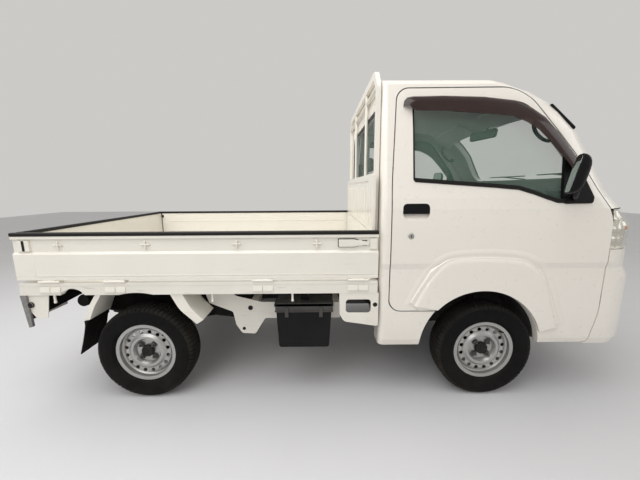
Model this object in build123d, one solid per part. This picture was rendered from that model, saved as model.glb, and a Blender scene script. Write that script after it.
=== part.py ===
from build123d import *
import math
import os

# A kei truck: one driver's cab over the front wheels and a three-way drop-side bed behind it.
# Millimetres. The floor is Z = 0, +X is forward, -Y is the driver's side, and X = Y = 0 is the
# middle of the overall length and width.

# Overall sizes
LENGTH = 3395.0
BODY_WIDTH = 1475.0
HEIGHT = 1780.0
WHEELBASE = 1900.0
REAR_OVERHANG = 618.5
TRACK = 1305.0

REAR_X = -LENGTH / 2
FRONT_X = LENGTH / 2
HALF_WIDTH = BODY_WIDTH / 2
REAR_AXLE_X = REAR_X + REAR_OVERHANG
FRONT_AXLE_X = REAR_AXLE_X + WHEELBASE
WHEEL_Y = TRACK / 2

# Clearances
SEAT_GAP = 0.3
SHUT_GAP = 6.0
RUNNING_GAP = 6.0

# Wheels and tyres
TYRE_RADIUS = 268.5
TYRE_WIDTH = 147.0
RIM_RADIUS = 152.4
RIM_FLANGE_RADIUS = 166.5
RIM_WIDTH = 108.0
RIM_WALL = 4.0
HUB_FACE_OFFSET = 22.0
HUB_RADIUS = 62.0
CAP_RADIUS = 33.0
VENT_COUNT = 16
VENT_RADIUS = 11.0
VENT_CIRCLE = 118.0

# Cab
CAB_REAR_X = 222.0
CAB_BOTTOM_Z = 311.0
ROOF_TOP_Z = 1775.0
ROOF_EDGE_SLOPE = 10.4
ROOF_EDGE_HALF = 655.0
ROOF_EDGE_RADIUS = 70.0
NOSE_RADIUS = 4100.0
CAB_WALL = 42.0
NOSE_WALL = 30.0
ROOF_WALL = 32.0
GLASS_THICKNESS = 5.0
SCREEN_DEPTH = 5.0
SIDE_GLASS_DEPTH = 20.0

# Levels of the cab's plan outline: height, setback of the nose from the truck's front,
# tuck of each side from the full width, corner radius
CAB_LEVELS = [
    (CAB_BOTTOM_Z, 29.5, 22.5, 170),
    (345, 7.5, 13.0, 190),
    (404, 0.0, 11.5, 200),
    (690, 0.0, 11.5, 200),
    (747, 33.5, 11.5, 195),
    (779, 40.5, 3.5, 195),
    (850, 42.5, 3.5, 195),
    (971, 34.5, 6.0, 195),
    (1062, 109.5, 9.0, 190),
    (1118, 162.5, 15.0, 190),
    (1151, 191.5, 20.0, 190),
    (1464, 362.5, 60.5, 190),
    (1552, 439.5, 73.5, 200),
    (1608, 505.5, 81.5, 210),
    (1654, 585.5, 87.5, 220),
    (1700, 712.5, 94.5, 230),
    (1738, 897.5, 100.5, 240),
    (1768, 1080.0, 105.5, 200),
    (1800, 1110.0, 109.5, 160),
]

# Doors, in side view: x, z, corner radius
DOOR_EDGE_X = 1417.0
DOOR_CORNERS = [
    (276, 515, 62),
    (700, 515, 0),
    (700, 320, 0),
    (1378, 320, 18),
    (DOOR_EDGE_X, 500, 260),
    (DOOR_EDGE_X, 1000, 160),
    (1396, 1060, 10),
    (1210, 1330, 700),
    (935, 1668, 230),
    (298, 1664, 60),
    (276, 1200, 1500),
]
WINDOW_CORNERS = [
    (384, 1206, 14),
    (935, 1163, 240),
    (1120, 1094, 60),
    (1268, 1100, 22),
    (1185, 1305, 300),
    (950, 1600, 170),
    (376, 1600, 42),
]
ARCH_X = 780.0
ARCH_Z = 296.0
ARCH_RADIUS = 331.0

# The flare pressed into the door around the wheel arch: its rim in side view and its height
FLARE_CORNERS = [
    (394, 564, 0),
    (492, 740, 110),
    (575, 800, 90),
    (757, 810, 600),
    (960, 800, 110),
    (1090, 715, 90),
    (1145, 590, 400),
    (1202, 440, 0),
    (1110, 395, 0),
    (ARCH_X, ARCH_Z, 0),
    (480, 480, 0),
]
FLARE_Y = HALF_WIDTH
FLARE_EDGE = 9.0
FLARE_ROOT_Y = HALF_WIDTH - 24.0
FLARE_LIP_RADIUS = 346.0
FLARE_SLOPE = 0.074

# Door handle, in a scoop behind a flap, and the lock beside it
HANDLE_CORNERS = [(330, 1008, 36), (467, 1008, 36), (467, 1094, 36), (330, 1094, 36)]
HANDLE_FLAP_FOOT_Z = 1046.0
SCOOP_RADIUS = 46.0
SCOOP_OFFSET = 28.0
LOCK_X = 376.0
LOCK_Z = 925.0
LOCK_RADIUS = 9.0
LOCK_DISH_RADIUS = 22.0
LOCK_DISH_DEPTH = 4.0

# Door hinges: a pin through a pocket in the door, on a cranked arm from the hinge pillar
HINGE_X = 1381.0
HINGE_Y = 718.5
HINGE_RADIUS = 4.0
HINGE_PIN_GAP = 0.3
HINGE_HEIGHTS = (570.0, 900.0)
HINGE_ARM_HALF = 26.0
HINGE_ARM_DEPTH = 6.0
HINGE_ARM_INNER_Y = 655.0
HINGE_POCKET_HALF = 32.0
HINGE_POCKET_REAR = 9.0
HINGE_POCKET_SIDE = 4.6
HINGE_POCKET_INNER_Y = 640.0
HINGE_BORE = 10.0

# Windscreen and rear window, in front view: y, z, corner radius, for the left half
SCREEN_CORNERS = [(0, 1222, 0), (585, 1228, 55), (545, 1600, 60), (0, 1612, 0)]
REAR_WINDOW_CORNERS = [(0, 1225, 0), (520, 1225, 60), (490, 1590, 70), (0, 1590, 0)]

# Nose
BUMPER_TOP_Z = 848.0
LAMP_TOP_Z = 1060.0
LAMP_INNER_Y = 400.0
HOOD_TOP_Z = 1192.0
NOSE_REAR_X = DOOR_EDGE_X + SHUT_GAP
PANEL_GAP = 0.8
GRILLE_Z = (905.0, 965.0)
GRILLE_HALF = 300.0
INTAKE_Z = (400.0, 560.0)
INTAKE_HALF = 430.0
PLATE_PAD_Z = (590.0, 680.0)
PLATE_HALF = 150.0
PLATE_HOLE_SPACING = 210.0
PLATE_HOLE_RADIUS = 3.5

# Cab floor
FLOOR_Z = 372.0
FLOOR_THICKNESS = 18.0
DECK_Z = 650.0
RISER_X = 1060.0
BULKHEAD_X = 1480.0
PANEL_THICKNESS = 15.0
HOUSE_INNER_Y = 425.0
HOUSE_RADIUS = 335.0
HOUSE_WALL = 12.0
FLOOR_INSET = 30.0
FLOOR_HALF = HALF_WIDTH - CAB_WALL - FLOOR_INSET
TUNNEL_HALF = 600.0
STEERING_CENTRE = (1150.0, -335.0, 1040.0)
COLUMN_LEAN = 36.87
BOSS_LENGTH = 40.0

# Seats
CUSHION_HEIGHT = 102.0
CUSHION_HALF = 225.0
BACKREST_TOP_Z = 1290.0
BACKREST_HALF = 215.0
HEADREST_TOP_Z = 1425.0
HEADREST_HALF = 120.0
HEADREST_POST_Y = 60.0

# Chassis rails
RAIL_Y = 330.0
RAIL_WIDTH = 60.0
RAIL_HEIGHT = 75.0
RAIL_REAR_Z = 540.0
RAIL_FRONT_Z = FLOOR_Z
RAIL_REAR_END_X = REAR_X + 60.0
RAIL_FRONT_END_X = FRONT_X - 130.0
RAIL_BEND_X = (190.0, 400.0)
CROSS_MEMBER_XS = (-1610.0, -1420.0, -700.0, -180.0, 150.0, 1180.0, 1500.0)
CROSS_MEMBER_WIDTH = 50.0

# Load bed
BED_FRONT_X = 208.0
BED_FLOOR_Z = 660.0
BED_FLOOR_THICKNESS = 10.0
BED_RIB_HEIGHT = 4.0
BED_RIB_WIDTH = 46.0
BED_RIB_COUNT = 13
SILL_BOTTOM_Z = 620.0
SILL_THICKNESS = 30.0
SILL_FACE_Y = HALF_WIDTH - 4.0
SILL_GROOVE_Z = (668.0, 670.5)
SILL_NOTCH = (-1415.0, 580.0, 76.0)
SILL_TYRE_GAP = 94.0
BEARER_WIDTH = 60.0
BEARER_COUNT = 6
BEARER_WING_Z = 622.0
BEARER_BELLY_Y = 420.0
GATE_BOTTOM_Z = 703.0
GATE_TOP_Z = 938.0
GATE_CAP_Z = 956.0
GATE_THICKNESS = 26.0
GATE_LEDGE_Z = 848.0
GATE_RECESS = 12.0
GATE_LIP_Z = 923.0
GATE_GROOVE_Z = 720.0
GATE_HINGE_Z = 694.0
GATE_HINGE_RADIUS = 6.5
GATE_HINGE_LENGTH = 62.0
SIDE_FACE_Y = HALF_WIDTH - 2.0
TAIL_FACE_X = REAR_X + GATE_HINGE_RADIUS
SIDE_HINGE_XS = (-1525.0, -1182.0, -402.0, 104.0)
HINGE_BLOCK_LENGTH = 51.0
HINGE_BLOCK_SECTION = [(0.0, 665.0), (3.5, 663.0), (7.5, 640.0), (4.5, 631.0), (0.0, 631.0)]
SILL_TOP_Z = GATE_HINGE_Z - GATE_HINGE_RADIUS - SEAT_GAP
GATE_HOOK_XS = (-1457.0, -1005.0, -531.0, -113.0)
GATE_HOOK_Z = 890.0
GATE_HOOK_LENGTH = 44.0
GATE_HOOK_RADIUS = 3.5
LATCH_LEVER = [(0, 884, 4), (118, 876, 8), (140, 889, 6), (118, 908, 8), (0, 900, 4)]
LATCH_FRAME_X = (164.0, 200.0)
LATCH_BLOCK_X = (-1662.0, -1601.0)
LATCH_Z = (859.0, 915.0)
TAIL_HINGE_YS = (-520.0, 0.0, 520.0)

# Headboard and guard frame
HEADBOARD_TOP_Z = 1240.0
HEADBOARD_THICKNESS = 14.0
HEADBOARD_RIB = 3.0
HEADBOARD_RIB_WIDTH = 52.0
HEADBOARD_RIB_COUNT = 15
HEADBOARD_RIB_Z = (965.0, 1180.0)
GUARD_FRONT_X = CAB_REAR_X - 4.0
GUARD_DEPTH = 22.0
GUARD_POST = 38.0
GUARD_HALF = 640.0
GUARD_BEAM_HALF = 560.0
GUARD_SHOULDER_Z = 1690.0
GUARD_RAIL_Z = 1692.0
GUARD_BAR_YS = (-255.0, 255.0)
GUARD_BAR_RADIUS = 10.0
SLOT_ROWS_Z = (938.0, 1208.0)
SLOT_PITCH = 46.0
SLOT_COUNT = 23
SLOT_WIDTH = 22.0
SLOT_HEIGHT = 12.0

# Mirrors and rear fittings
MIRROR_OUTER_Y = 895.0
MIRROR_INNER_Y = 762.0
MIRROR_SHOE = 9.0
MUD_FLAP_FOOT_Z = 267.0
MUD_FLAP_X = -1368.0
STRIP_FOOT_Z = 470.0
MUD_FLAP_TOP_Z = STRIP_FOOT_Z + 1.7
GUARD_STRIP_Y = (560.0, 724.0)
GUARD_STRIP_WALL = 3.0

# Pressings under the bed, in side view, and their outer faces
UNDER_SILL_Z = SILL_BOTTOM_Z - SEAT_GAP
REAR_GUARD = [
    (-1303, UNDER_SILL_Z, 0),
    (-1272, UNDER_SILL_Z, 0),
    (-1318, 548, 200),
    (-1350, STRIP_FOOT_Z + 6, 0),
    (-1382, STRIP_FOOT_Z, 0),
    (-1350, 548, 200),
]
FRONT_GUARD = [
    (-905, UNDER_SILL_Z, 0),
    (-840, UNDER_SILL_Z, 0),
    (-800, 540, 120),
    (-736, 470, 0),
    (-772, 446, 0),
    (-860, 530, 160),
]
SIDE_MEMBER = [
    (-800, UNDER_SILL_Z, 0),
    (-760, 500, 0),
    (-622, 444, 20),
    (-606, 360, 30),
    (-572, 306, 16),
    (-492, 302, 16),
    (-430, 402, 20),
    (20, 402, 0),
    (20, 500, 0),
    (-446, 504, 60),
    (-610, 545, 60),
    (-650, UNDER_SILL_Z, 0),
]
SIDE_MEMBER_HOLES = [(-516, 470, 9.0), (-560, 336, 7.0)]
SIDE_MEMBER_Y = 556.0
SIDE_MEMBER_END_X = -440.0
FRONT_BRACKET = [
    (5, UNDER_SILL_Z, 0),
    (7, 500, 0),
    (30, 458, 30),
    (216, 429, 10),
    (216, UNDER_SILL_Z, 0),
]
FRONT_BRACKET_HOLE = [(40, 508, 18), (175, 508, 18), (175, 583, 18), (40, 583, 18)]
FRONT_BRACKET_PLUG = (198.0, 553.0, 9.0)
FRONT_BRACKET_BOSS = (160.0, 474.0, 12.0)
FRONT_BRACKET_Y = 730.0
REAR_PLATE = [
    (-1684, UNDER_SILL_Z, 0),
    (-1552, UNDER_SILL_Z, 0),
    (-1574, 488, 12),
    (-1632, 482, 30),
    (-1684, 555, 60),
]
REAR_PLATE_BUFFER = (-1652.0, 563.0, 15.0)
REAR_PLATE_Y = 722.0
SHEET = 3.0
ROPE_HOOK_XS = (-1524.0, -678.0, -247.0)
ROPE_HOOK_RADIUS = 6.0
ROPE_HOOK_FOOT_Z = 577.0

# Wipers and controls
WIPER_PIVOT_YS = (-560.0, -20.0)
WIPER_PIVOT_Z = 1196.0
ANTENNA_ENDS = ((1213.0, -647.0, 1474.0), (1102.0, -627.0, 1586.0))
ANTENNA_RADIUS = 9.0
PEDAL_YS = (-420.0, -330.0, -250.0)
GEAR_LEVER_Y = -40.0

# Running gear
AXLE_TUBE_RADIUS = 35.0
DIFF_RADIUS = 92.0
DIFF_NOSE_LENGTH = 130.0
HUB_DEPTH = 14.0
BRAKE_DISC = 12.0
DRUM_RADIUS = 102.0
DRUM_WIDTH = 46.0
SPRING_WIDTH = 50.0
SPRING_LEAF = 8.0
SPRING_LEAVES = 4
SPRING_HALF = 480.0
SPRING_ARCH = 70.0
KINGPIN_FOOT_Y = 625.0
KINGPIN_FOOT_Z = 150.0
KINGPIN_LEAN = 80.0 / 470.0
ARM_Z = (155.0, 173.0)
BALL_JOINT_GAP = 3.2
STRUT_RADIUS = 23.0
STRUT_TOP_Z = 585.0
STRUT_OFFSET = 48.0
EXHAUST_FLANGE_X = 408.6


def corner_edges(corners):
    """Edges of a closed outline. Each corner is (u, v, radius), and radius 0 is a sharp corner."""
    count = len(corners)
    starts = []
    ends = []
    middles = []
    for index in range(count):
        u, v, radius = corners[index]
        before = corners[index - 1]
        after = corners[(index + 1) % count]
        to_before = Vector(before[0] - u, before[1] - v).normalized()
        to_after = Vector(after[0] - u, after[1] - v).normalized()
        corner = Vector(u, v)
        if radius <= 0:
            starts.append(corner)
            ends.append(corner)
            middles.append(None)
            continue
        cosine = max(-1.0, min(1.0, to_before.dot(to_after)))
        half_angle = math.acos(cosine) / 2
        tangent = radius / math.tan(half_angle)
        bisector = (to_before + to_after).normalized()
        centre = corner + bisector * (radius / math.sin(half_angle))
        starts.append(corner + to_before * tangent)
        ends.append(corner + to_after * tangent)
        middles.append(centre - bisector * radius)
    edges = []
    for index in range(count):
        if middles[index] is not None:
            edges.append(ThreePointArc(starts[index], middles[index], ends[index]))
        following = starts[(index + 1) % count]
        if (following - ends[index]).length > 1e-4:
            edges.append(Line(ends[index], following))
    return edges


def grown(corners, amount):
    """The corners of a parallel outline, moved outwards by amount."""
    count = len(corners)
    area = sum(
        corners[i - 1][0] * corners[i][1] - corners[i][0] * corners[i - 1][1] for i in range(count)
    )
    turn = 1.0 if area > 0 else -1.0
    result = []
    for index in range(count):
        u, v, radius = corners[index]
        before = corners[index - 1]
        after = corners[(index + 1) % count]
        first = Vector(u - before[0], v - before[1]).normalized()
        second = Vector(after[0] - u, after[1] - v).normalized()
        normal_1 = Vector(first.Y, -first.X) * turn
        normal_2 = Vector(second.Y, -second.X) * turn
        shift = (normal_1 + normal_2) * (amount / (1 + normal_1.dot(normal_2)))
        convex = (first.X * second.Y - first.Y * second.X) * turn > 0
        new_radius = radius
        if radius > 0:
            new_radius = radius + amount if convex else max(radius - amount, 0.0)
        result.append((u + shift.X, v + shift.Y, new_radius))
    return result


def outline(corners):
    """A flat face with the corners of the table."""
    return Face(Wire(corner_edges(corners)))


def side_prism(corners, y_from, y_to):
    """A solid with the outline (x, z) between two values of y."""
    plane = Plane(origin=(0, max(y_from, y_to), 0), x_dir=(1, 0, 0), z_dir=(0, -1, 0))
    return extrude(plane * outline(corners), amount=abs(y_to - y_from), dir=(0, -1, 0))


def front_prism(corners, x_from, x_to):
    """A solid with the outline (y, z) between two values of x."""
    plane = Plane(origin=(min(x_from, x_to), 0, 0), x_dir=(0, 1, 0), z_dir=(1, 0, 0))
    return extrude(plane * outline(corners), amount=abs(x_to - x_from), dir=(1, 0, 0))


def plan_prism(corners, z_from, z_to):
    """A solid with the outline (x, y) between two heights."""
    plane = Plane(origin=(0, 0, min(z_from, z_to)))
    return extrude(plane * outline(corners), amount=abs(z_to - z_from), dir=(0, 0, 1))


def block(x_range, y_range, z_range):
    """A box between two values of each coordinate."""
    size = [abs(r[1] - r[0]) for r in (x_range, y_range, z_range)]
    middle = [(r[0] + r[1]) / 2 for r in (x_range, y_range, z_range)]
    return Pos(*middle) * Box(*size)


def rod(start, end, radius):
    """A round bar between two points."""
    run = Vector(*end) - Vector(*start)
    plane = Plane(origin=start, z_dir=run.normalized())
    return extrude(plane * Circle(radius), amount=run.length)


def cross_cylinder(x, z, radius, y_from, y_to):
    """A cylinder along Y."""
    return rod((x, min(y_from, y_to), z), (x, max(y_from, y_to), z), radius)


def mirrored_pair(right):
    """A piece on the driver's side and its twin on the other."""
    return right, mirror(right, about=Plane.XZ)


def both_halves(corners):
    """A symmetrical outline from the corners of its left half, which start and end at y = 0."""
    inner = [c for c in corners if c[0] > 0]
    return [(-y, z, r) for y, z, r in reversed(inner)] + inner


def joined(pieces):
    """The pieces fused, or kept side by side where they don't touch."""
    result = pieces[0]
    for piece in pieces[1:]:
        result = result + piece
    return result


# The cab's outer form and the forms inside it


def half_width_at(z):
    """Half the cab's width at a height, from the table of levels."""
    for low, high in zip(CAB_LEVELS, CAB_LEVELS[1:]):
        if low[0] <= z <= high[0]:
            share = (z - low[0]) / (high[0] - low[0])
            return HALF_WIDTH - (low[2] + share * (high[2] - low[2]))
    edge = CAB_LEVELS[0] if z < CAB_LEVELS[0][0] else CAB_LEVELS[-1]
    return HALF_WIDTH - edge[2]


def inset_level(index, inset):
    """Height and nose x of one level, moved inwards square to the nose's side view."""
    points = [(FRONT_X - level[1], level[0]) for level in CAB_LEVELS]
    x, z = points[index]
    normals = []
    for low, high in ((index - 1, index), (index, index + 1)):
        if low < 0 or high >= len(points):
            continue
        dx = points[high][0] - points[low][0]
        dz = points[high][1] - points[low][1]
        run = math.hypot(dx, dz)
        normals.append((dz / run, -dx / run))
    if len(normals) == 1:
        normals = normals * 2
    (ax, az), (bx, bz) = normals
    scale = inset / (1 + ax * bx + az * bz)
    return x - (ax + bx) * scale, z - (az + bz) * scale


def plan_wire(z, nose_x, half, corner_radius, rear_x, rear_radius):
    """One level of the cab: a curved nose, round corners, straight sides and a straight back."""
    nose_centre = nose_x - NOSE_RADIUS
    reach = math.sqrt((NOSE_RADIUS - corner_radius) ** 2 - (half - corner_radius) ** 2)
    corner_x = nose_centre + reach
    corner_y = half - corner_radius
    lean = math.atan2(corner_y, reach)
    joint = (nose_centre + NOSE_RADIUS * math.cos(lean), NOSE_RADIUS * math.sin(lean))
    middle_angle = (lean + math.pi / 2) / 2
    middle = (
        corner_x + corner_radius * math.cos(middle_angle),
        corner_y + corner_radius * math.sin(middle_angle),
    )
    rear_middle = rear_radius * (1 - math.sqrt(0.5))
    edges = [
        Line((rear_x + rear_radius, -half, z), (corner_x, -half, z)),
        ThreePointArc((corner_x, -half, z), (middle[0], -middle[1], z), (joint[0], -joint[1], z)),
        ThreePointArc((joint[0], -joint[1], z), (nose_x, 0, z), (joint[0], joint[1], z)),
        ThreePointArc((joint[0], joint[1], z), (middle[0], middle[1], z), (corner_x, half, z)),
        Line((corner_x, half, z), (rear_x + rear_radius, half, z)),
        ThreePointArc(
            (rear_x + rear_radius, half, z),
            (rear_x + rear_middle, half - rear_middle, z),
            (rear_x, half - rear_radius, z),
        ),
        Line((rear_x, half - rear_radius, z), (rear_x, -half + rear_radius, z)),
        ThreePointArc(
            (rear_x, -half + rear_radius, z),
            (rear_x + rear_middle, -half + rear_middle, z),
            (rear_x + rear_radius, -half, z),
        ),
    ]
    return Wire(edges)


def cab_form(side=0.0, front=0.0, rear=0.0, top=0.0, rear_radius=30.0):
    """The cab's solid form, each wall moved inwards by its own amount."""
    wires = []
    for index in range(len(CAB_LEVELS)):
        nose_x, z = inset_level(index, front)
        half = half_width_at(z) - side
        radius = max(CAB_LEVELS[index][3] - max(side, front), 20.0)
        if index == 0 and front > 0:
            z = CAB_BOTTOM_Z - 1.0
        wires.append(plan_wire(z, nose_x, half, radius, CAB_REAR_X + rear, rear_radius))
    body = Solid.make_loft(wires, ruled=True)
    slope = math.radians(ROOF_EDGE_SLOPE)
    edge_half = ROOF_EDGE_HALF - side
    crown_radius = (edge_half - ROOF_EDGE_RADIUS) / math.tan(slope)
    apex_z = ROOF_TOP_Z - top + crown_radius * (1 / math.cos(slope) - 1)
    edge_z = apex_z - edge_half * math.tan(slope)
    flare_z = edge_z - ROOF_EDGE_RADIUS
    half_outline = [
        (0, 200, 0),
        (HALF_WIDTH + 60, 200, 0),
        (HALF_WIDTH + 60, flare_z - 140, 0),
        (edge_half, flare_z, 0),
        (edge_half, edge_z, ROOF_EDGE_RADIUS),
    ]
    corners = both_halves(half_outline)
    corners.append((0, apex_z, crown_radius))
    return body & front_prism(corners, CAB_REAR_X - 10, FRONT_X + 10)


def door_prism(grow, y_from, y_to):
    """The door's outline in side view as a prism."""
    return side_prism(grown(DOOR_CORNERS, grow), y_from, y_to)


def window_prism(grow, y_from, y_to):
    """The side window's outline as a prism."""
    return side_prism(grown(WINDOW_CORNERS, grow), y_from, y_to)


def arch_cylinder(radius, y_from, y_to):
    """The wheel arch's cut."""
    return cross_cylinder(ARCH_X, ARCH_Z, radius, y_from, y_to)


def nose_region(y_from, y_to):
    """Side view of what lies ahead of the doors and below the windscreen pillars."""
    corners = [
        (NOSE_REAR_X - 60, CAB_BOTTOM_Z - 10, 0),
        (FRONT_X + 20, CAB_BOTTOM_Z - 10, 0),
        (FRONT_X + 20, HOOD_TOP_Z, 0),
        (FRONT_X - 195, HOOD_TOP_Z, 0),
        (NOSE_REAR_X, LAMP_TOP_Z + 4, 0),
        (NOSE_REAR_X - 60, LAMP_TOP_Z + 4, 0),
    ]
    return side_prism(corners, y_from, y_to)


OUTER = cab_form()
WALL_INNER = cab_form(side=CAB_WALL, front=CAB_WALL, rear=CAB_WALL, top=ROOF_WALL)
NOSE_INNER = cab_form(side=NOSE_WALL, front=NOSE_WALL, rear=CAB_WALL, top=ROOF_WALL)
WALL = OUTER - WALL_INNER
WIDE = HALF_WIDTH + 80


def cab_shell():
    """Roof, back wall, pillars and rear quarters, open below and at the nose."""
    shell = WALL
    for y_from, y_to in ((-WIDE, -500), (500, WIDE)):
        shell = shell - door_prism(SHUT_GAP, y_from, y_to)
        shell = shell - arch_cylinder(ARCH_RADIUS, y_from, y_to)
    shell = shell - nose_region(-WIDE, WIDE)
    sill_strip = block((1000, FRONT_X), (-WIDE, WIDE), (CAB_BOTTOM_Z - 10, CAB_BOTTOM_Z + 30))
    tunnel = block((0, 400), (-TUNNEL_HALF, TUNNEL_HALF), (CAB_BOTTOM_Z - 10, RAIL_REAR_Z + 6))
    shell = shell - sill_strip - tunnel
    screen = both_halves(SCREEN_CORNERS)
    shell = shell - front_prism(screen, 900, FRONT_X)
    rear = both_halves(REAR_WINDOW_CORNERS)
    shell = shell - front_prism(rear, CAB_REAR_X - 10, CAB_REAR_X + CAB_WALL + 40)
    return shell


def windscreen():
    """The bonded front glass, a slice of the cab's own curved form."""
    deep = SCREEN_DEPTH + GLASS_THICKNESS
    skin = cab_form(side=SCREEN_DEPTH, front=SCREEN_DEPTH, top=SCREEN_DEPTH) - cab_form(
        side=deep, front=deep, rear=deep, top=deep
    )
    pane = front_prism(grown(both_halves(SCREEN_CORNERS), -SEAT_GAP), 900, FRONT_X)
    return skin & pane


def rear_window():
    """The flat glass in the cab's back wall."""
    x_low = CAB_REAR_X + CAB_WALL / 2
    outline_in = grown(both_halves(REAR_WINDOW_CORNERS), -SEAT_GAP)
    return front_prism(outline_in, x_low, x_low + GLASS_THICKNESS)


def door_flare():
    """The flare around the wheel arch: steep at its rim, then sloping in to the arch's lip."""
    wires = []
    for y, grow in ((FLARE_Y, 0.0), (FLARE_ROOT_Y, FLARE_EDGE * 2)):
        plane = Plane(origin=(0, -y, 0), x_dir=(1, 0, 0), z_dir=(0, -1, 0))
        wires.append((plane * outline(grown(FLARE_CORNERS, grow))).outer_wire())
    band = Solid.make_loft(wires, ruled=True)
    face_y = half_width_at(ARCH_Z + ARCH_RADIUS)
    reach = 560.0
    cone = [
        (0, FLARE_ROOT_Y - 6, 0),
        (reach, FLARE_ROOT_Y - 6, 0),
        (reach, face_y + FLARE_SLOPE * (reach - FLARE_LIP_RADIUS), 0),
        (0, face_y - FLARE_SLOPE * FLARE_LIP_RADIUS, 0),
    ]
    plane = Plane(origin=(ARCH_X, 0, ARCH_Z), x_dir=(1, 0, 0), z_dir=(0, 0, 1))
    section = plane * outline([(r, -y, 0) for r, y, _ in cone])
    keep = revolve(section, axis=Axis((ARCH_X, 0, ARCH_Z), (0, 1, 0)), revolution_arc=360)
    return band & keep


def handle_scoop(shrink):
    """The hollow behind the door handle, or the same form a little smaller."""
    z_mid = (HANDLE_CORNERS[0][1] + HANDLE_CORNERS[2][1]) / 2 - 5
    face = half_width_at(z_mid)
    prism = side_prism(grown(HANDLE_CORNERS, -shrink), -WIDE, -600)
    axis_y = -(face + SCOOP_OFFSET)
    low = (HANDLE_CORNERS[0][0] - 10, axis_y, z_mid)
    high = (HANDLE_CORNERS[1][0] + 10, axis_y, z_mid)
    return prism & rod(low, high, SCOOP_RADIUS - shrink)


def lock_dish():
    """The shallow round dish around the door's lock."""
    radius = (LOCK_DISH_RADIUS ** 2 + LOCK_DISH_DEPTH ** 2) / (2 * LOCK_DISH_DEPTH)
    centre_y = half_width_at(LOCK_Z) - LOCK_DISH_DEPTH + radius
    return Pos(LOCK_X, -centre_y, LOCK_Z) * Sphere(radius)


def door():
    """The driver's door: a thick shell with its window cut and the front of the wheel arch."""
    slab = WALL & door_prism(0, -WIDE, -500)
    slab = slab + (door_flare() & door_prism(0, -WIDE, -500))
    slab = slab - arch_cylinder(ARCH_RADIUS, -WIDE, -500)
    slab = slab - window_prism(0, -WIDE, -500)
    slab = slab - handle_scoop(0.0) - lock_dish()
    for z in HINGE_HEIGHTS:
        pocket = block(
            (HINGE_X - HINGE_POCKET_REAR, NOSE_REAR_X),
            (-HINGE_Y - HINGE_POCKET_SIDE, -HINGE_POCKET_INNER_Y),
            (z - HINGE_POCKET_HALF, z + HINGE_POCKET_HALF),
        )
        reach = HINGE_POCKET_HALF + HINGE_BORE + 1.0
        bore = rod(
            (HINGE_X, -HINGE_Y, z - reach),
            (HINGE_X, -HINGE_Y, z + reach),
            HINGE_RADIUS + HINGE_PIN_GAP,
        )
        slab = slab - pocket - bore
    return slab


def door_handle():
    """The handle's flap over the upper half of its scoop, and the lock's barrel."""
    flap = handle_scoop(SEAT_GAP) & cab_form(side=-1.0, front=-1.0)
    flap = flap & block((300, 500), (-WIDE, -600), (HANDLE_FLAP_FOOT_Z, HANDLE_CORNERS[2][1]))
    barrel_foot = half_width_at(LOCK_Z) - LOCK_DISH_DEPTH + SEAT_GAP
    barrel = cross_cylinder(LOCK_X, LOCK_Z, LOCK_RADIUS, -barrel_foot - 4, -barrel_foot - 0.7)
    return flap + barrel


def door_glass():
    """The driver's side window."""
    deep = SIDE_GLASS_DEPTH + GLASS_THICKNESS
    skin = cab_form(side=SIDE_GLASS_DEPTH, front=SIDE_GLASS_DEPTH) - cab_form(
        side=deep, front=deep, rear=deep
    )
    return skin & window_prism(-SEAT_GAP, -WIDE, -500)


def nose_skin():
    """The thin skin ahead of the doors."""
    skin = (OUTER - NOSE_INNER) & nose_region(-WIDE, WIDE)
    for y_from, y_to in ((-WIDE, -500), (500, WIDE)):
        skin = skin - door_prism(SHUT_GAP, y_from, y_to)
    return skin


NOSE_SKIN = nose_skin()


def lamp_zone(grow):
    """The block that a headlamp fills at the nose's driver-side corner."""
    corners = [
        (-WIDE, BUMPER_TOP_Z + PANEL_GAP - grow, 0),
        (-LAMP_INNER_Y + grow, BUMPER_TOP_Z + PANEL_GAP - grow, 0),
        (-LAMP_INNER_Y - 70 + grow, LAMP_TOP_Z + grow, 0),
        (-WIDE, LAMP_TOP_Z + grow, 0),
    ]
    return front_prism(corners, NOSE_REAR_X - 60, FRONT_X + 20)


def headlamps():
    """The two corner lamps."""
    right = NOSE_SKIN & lamp_zone(0)
    return joined(mirrored_pair(right))


def front_bumper():
    """The bumper that wraps the nose from door to door, with its cooling intake."""
    zone = block((NOSE_REAR_X - 60, FRONT_X + 20), (-WIDE, WIDE), (CAB_BOTTOM_Z - 10, BUMPER_TOP_Z))
    intake = both_halves(
        [
            (0, INTAKE_Z[0], 0),
            (INTAKE_HALF - 40, INTAKE_Z[0], 20),
            (INTAKE_HALF, INTAKE_Z[1], 30),
            (0, INTAKE_Z[1], 0),
        ]
    )
    bumper = (NOSE_SKIN & zone) - front_prism(intake, FRONT_X - 250, FRONT_X + 10)
    pad = block((FRONT_X - 20, FRONT_X), (-PLATE_HALF, PLATE_HALF), PLATE_PAD_Z)
    bumper = bumper + pad
    plate_z = sum(PLATE_PAD_Z) / 2
    for y in (-PLATE_HOLE_SPACING / 2, PLATE_HOLE_SPACING / 2):
        bumper = bumper - rod((FRONT_X - 60, y, plate_z), (FRONT_X + 5, y, plate_z), PLATE_HOLE_RADIUS)
    return bumper


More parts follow.
